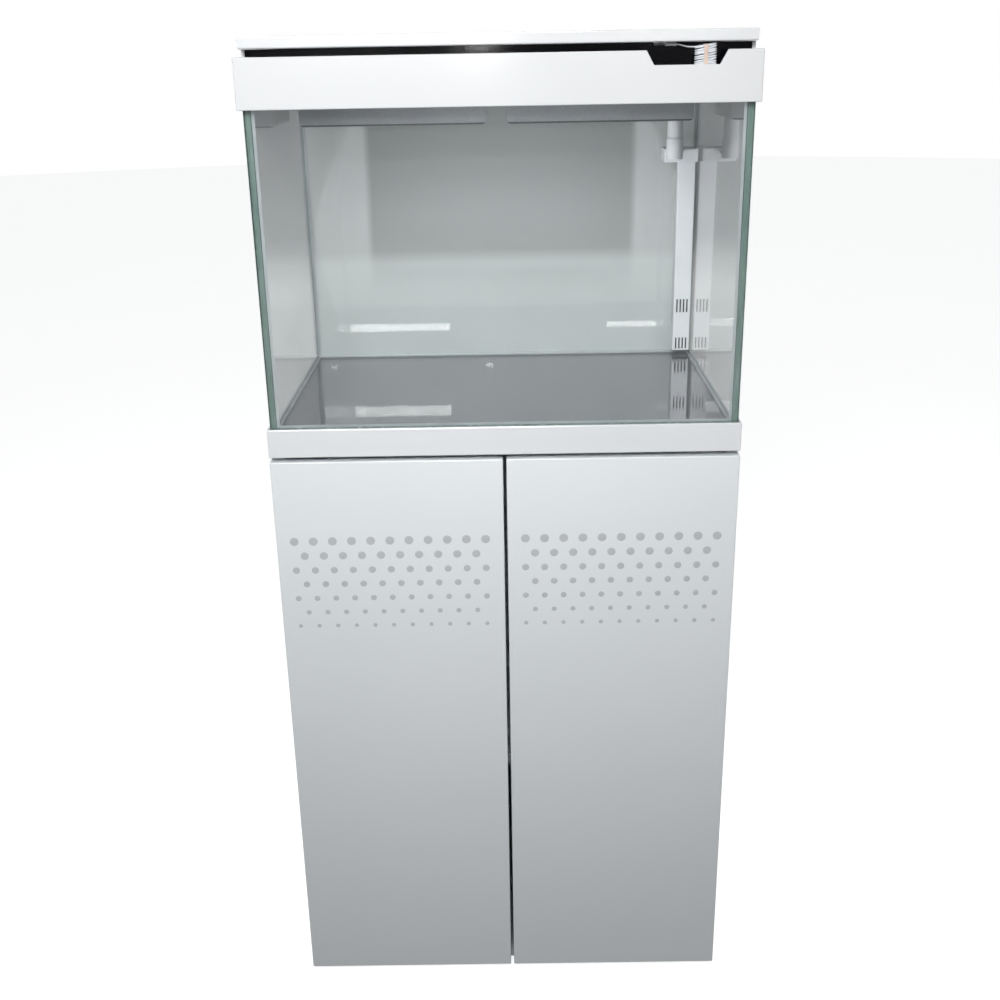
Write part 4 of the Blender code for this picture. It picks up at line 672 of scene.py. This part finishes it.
def make_silicone():
    """Concave beads of sealant in the corners of the tank, a little uneven, as a finger leaves them."""
    verts, faces = [], []
    ring = SEAM_ARC_PARTS + 2
    for run in seam_runs():
        start, end, u, v = (Vector(value) for value in run)
        steps = max(2, round((end - start).length / SEAM_STEP))
        base = len(verts)
        for i in range(steps + 1):
            at = start.lerp(end, i / steps)
            leg = SEAM_LEG * (1 - SEAM_SWELL + SEAM_SWELL * noise.noise(at * SEAM_SWELL_SCALE))
            verts.append(at)
            for k in range(SEAM_ARC_PARTS + 1):
                a = math.pi / 2 * k / SEAM_ARC_PARTS
                along_u = (1 - math.sin(a)) * SEAM_HOLLOW + SEAM_LIP * leg
                along_v = (1 - math.cos(a)) * SEAM_HOLLOW
                verts.append(at + leg * (along_u * u + along_v * v))
        for i in range(steps):
            faces += strip_faces(base + i * ring, base + (i + 1) * ring, ring)
        faces.append(tuple(range(base, base + ring)))
        faces.append(tuple(reversed(range(base + steps * ring, base + (steps + 1) * ring))))
    material = milky_material("silicone", (0.62, 0.66, 0.68), (0.50, 0.54, 0.57), clear=0.35,
                              roughness=0.22, scale=40, through=0.4)
    beads = mesh_of("silicone_beads", verts, faces)
    piece = new_piece("silicone_beads", "root", material, beads, smooth=60)
    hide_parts("tank_seams")
    return piece


def make_wool(side):
    """A pad of filter wool: a soft block with round edges and a matted surface."""
    low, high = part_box(f"{side}_pad")
    middle, half = (low + high) / 2, (high - low) / 2
    bm = bmesh.new()
    bmesh.ops.create_cube(bm, size=2)
    bmesh.ops.subdivide_edges(bm, edges=bm.edges, cuts=WOOL_CUTS, use_grid_fill=True)
    for v in bm.verts:
        pull = 1 - WOOL_CORNER_PULL * max(0, sum(abs(c) for c in v.co) - WOOL_CORNER_START)
        at = v.co * half * pull
        rough = noise.fractal((middle + at) * WOOL_SCALE, 0.8, 2.1, 4)
        outward = v.co.normalized() * min(half) * WOOL_ROUGHNESS
        v.co = middle + at * WOOL_SHRINK + outward * (rough - WOOL_ROUGH_MIDDLE)
        v.co = Vector(min(max(c, a), b) for c, a, b in zip(v.co, low, high))
    mesh = bpy.data.meshes.new(f"{side}_wool")
    bm.to_mesh(mesh)
    bm.free()
    wool = bpy.data.materials.get("filter_wool") or wool_material()
    piece = new_piece(f"{side}_wool", "root", wool, mesh, smooth=80)
    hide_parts(f"{side}_pad")
    return piece


# ------------------------------------------------------------------ floor and light
def area_light(name, place, aim, size, power, colour, spread):
    """A rectangular lamp at a place, aimed at a point; power in watts and spread in degrees."""
    data = bpy.data.lights.new(name, "AREA")
    data.shape = "RECTANGLE"
    data.size, data.size_y = size
    data.energy = power
    data.color = colour
    data.spread = math.radians(spread)
    lamp = bpy.data.objects.new(name, data)
    lamp.location = place
    lamp.rotation_mode = "QUATERNION"
    lamp.rotation_quaternion = (Vector(aim) - Vector(place)).to_track_quat("-Z", "Y")
    bpy.context.scene.collection.objects.link(lamp)
    return lamp


def hide_in_glass(thing):
    """Keeps a lamp or the floor out of mirrored views and out of views through glass."""
    thing.visible_glossy = False
    thing.visible_transmission = False


def make_floor():
    """A wide pale floor."""
    bm = bmesh.new()
    bmesh.ops.create_circle(bm, cap_ends=True, segments=FLOOR_SEGMENTS, radius=FLOOR_RADIUS)
    mesh = bpy.data.meshes.new("floor")
    bm.to_mesh(mesh)
    bm.free()
    floor = bpy.data.objects.new("floor", mesh)
    floor.location.z = -FLOOR_DROP
    bpy.context.scene.collection.objects.link(floor)
    pale = plain_surface("pale_floor", (0.92, 0.92, 0.92), (0.89, 0.89, 0.89), roughness=0.7, mottle=1.5,
                         grain=60, spread=0.05, relief=0.00002)
    surface = pale.node_tree.nodes["Principled BSDF"]
    surface.inputs["Emission Color"].default_value = (1, 1, 1, 1)
    surface.inputs["Emission Strength"].default_value = FLOOR_GLOW
    mesh.materials.append(pale)
    floor.visible_diffuse = False
    hide_in_glass(floor)


def make_world():
    """Soft light from all round, in three tones by height; the camera itself sees plain white there."""
    world = bpy.data.worlds.new("studio")
    world.use_nodes = True
    bpy.context.scene.world = world
    nodes, links = world.node_tree.nodes, world.node_tree.links
    place = nodes.new("ShaderNodeTexCoord")
    split = nodes.new("ShaderNodeSeparateXYZ")
    links.new(place.outputs["Generated"], split.inputs["Vector"])
    up = split.outputs["Z"]
    path = nodes.new("ShaderNodeLightPath")
    ground = mixed(nodes, links, path.outputs["Is Diffuse Ray"], FLOOR_SEEN, FLOOR_LIGHT)
    low = mixed(nodes, links, ranged(nodes, links, up, 0, 1, *FLOOR_EDGE), ground, WALL_LIGHT)
    full = mixed(nodes, links, ranged(nodes, links, up, 0, 1, *CEILING_EDGE), low, CEILING_LIGHT)
    seen = mixed(nodes, links, path.outputs["Is Camera Ray"], full, BACKDROP)
    links.new(seen, nodes["Background"].inputs["Color"])


def make_light():
    """The lamps of LAMPS, and the strips behind the camera that the tank's glass mirrors."""
    for *values, hidden in LAMPS:
        lamp = area_light(*values)
        if hidden:
            lamp.visible_camera = False
            hide_in_glass(lamp)
    for name, x, z, wide, tall, power in STRIP_LAMPS:
        place = (x, STRIP_FRONT, z)
        lamp = area_light(name, place, (x, 0, z), (wide, tall), power, WHITE, STRIP_SPREAD)
        lamp.visible_camera = False


bpy.context.scene.view_settings.view_transform = "Standard"
make_camera()
make_lead()
paint_nodes()
make_dots("left_door_dots", "left_door", LEFT_DOTS_START)
make_dots("right_door_dots", "right_door", RIGHT_DOTS_START)
make_silicone()
for side in ("left", "right"):
    make_wool(side)
make_floor()
make_world()
make_light()
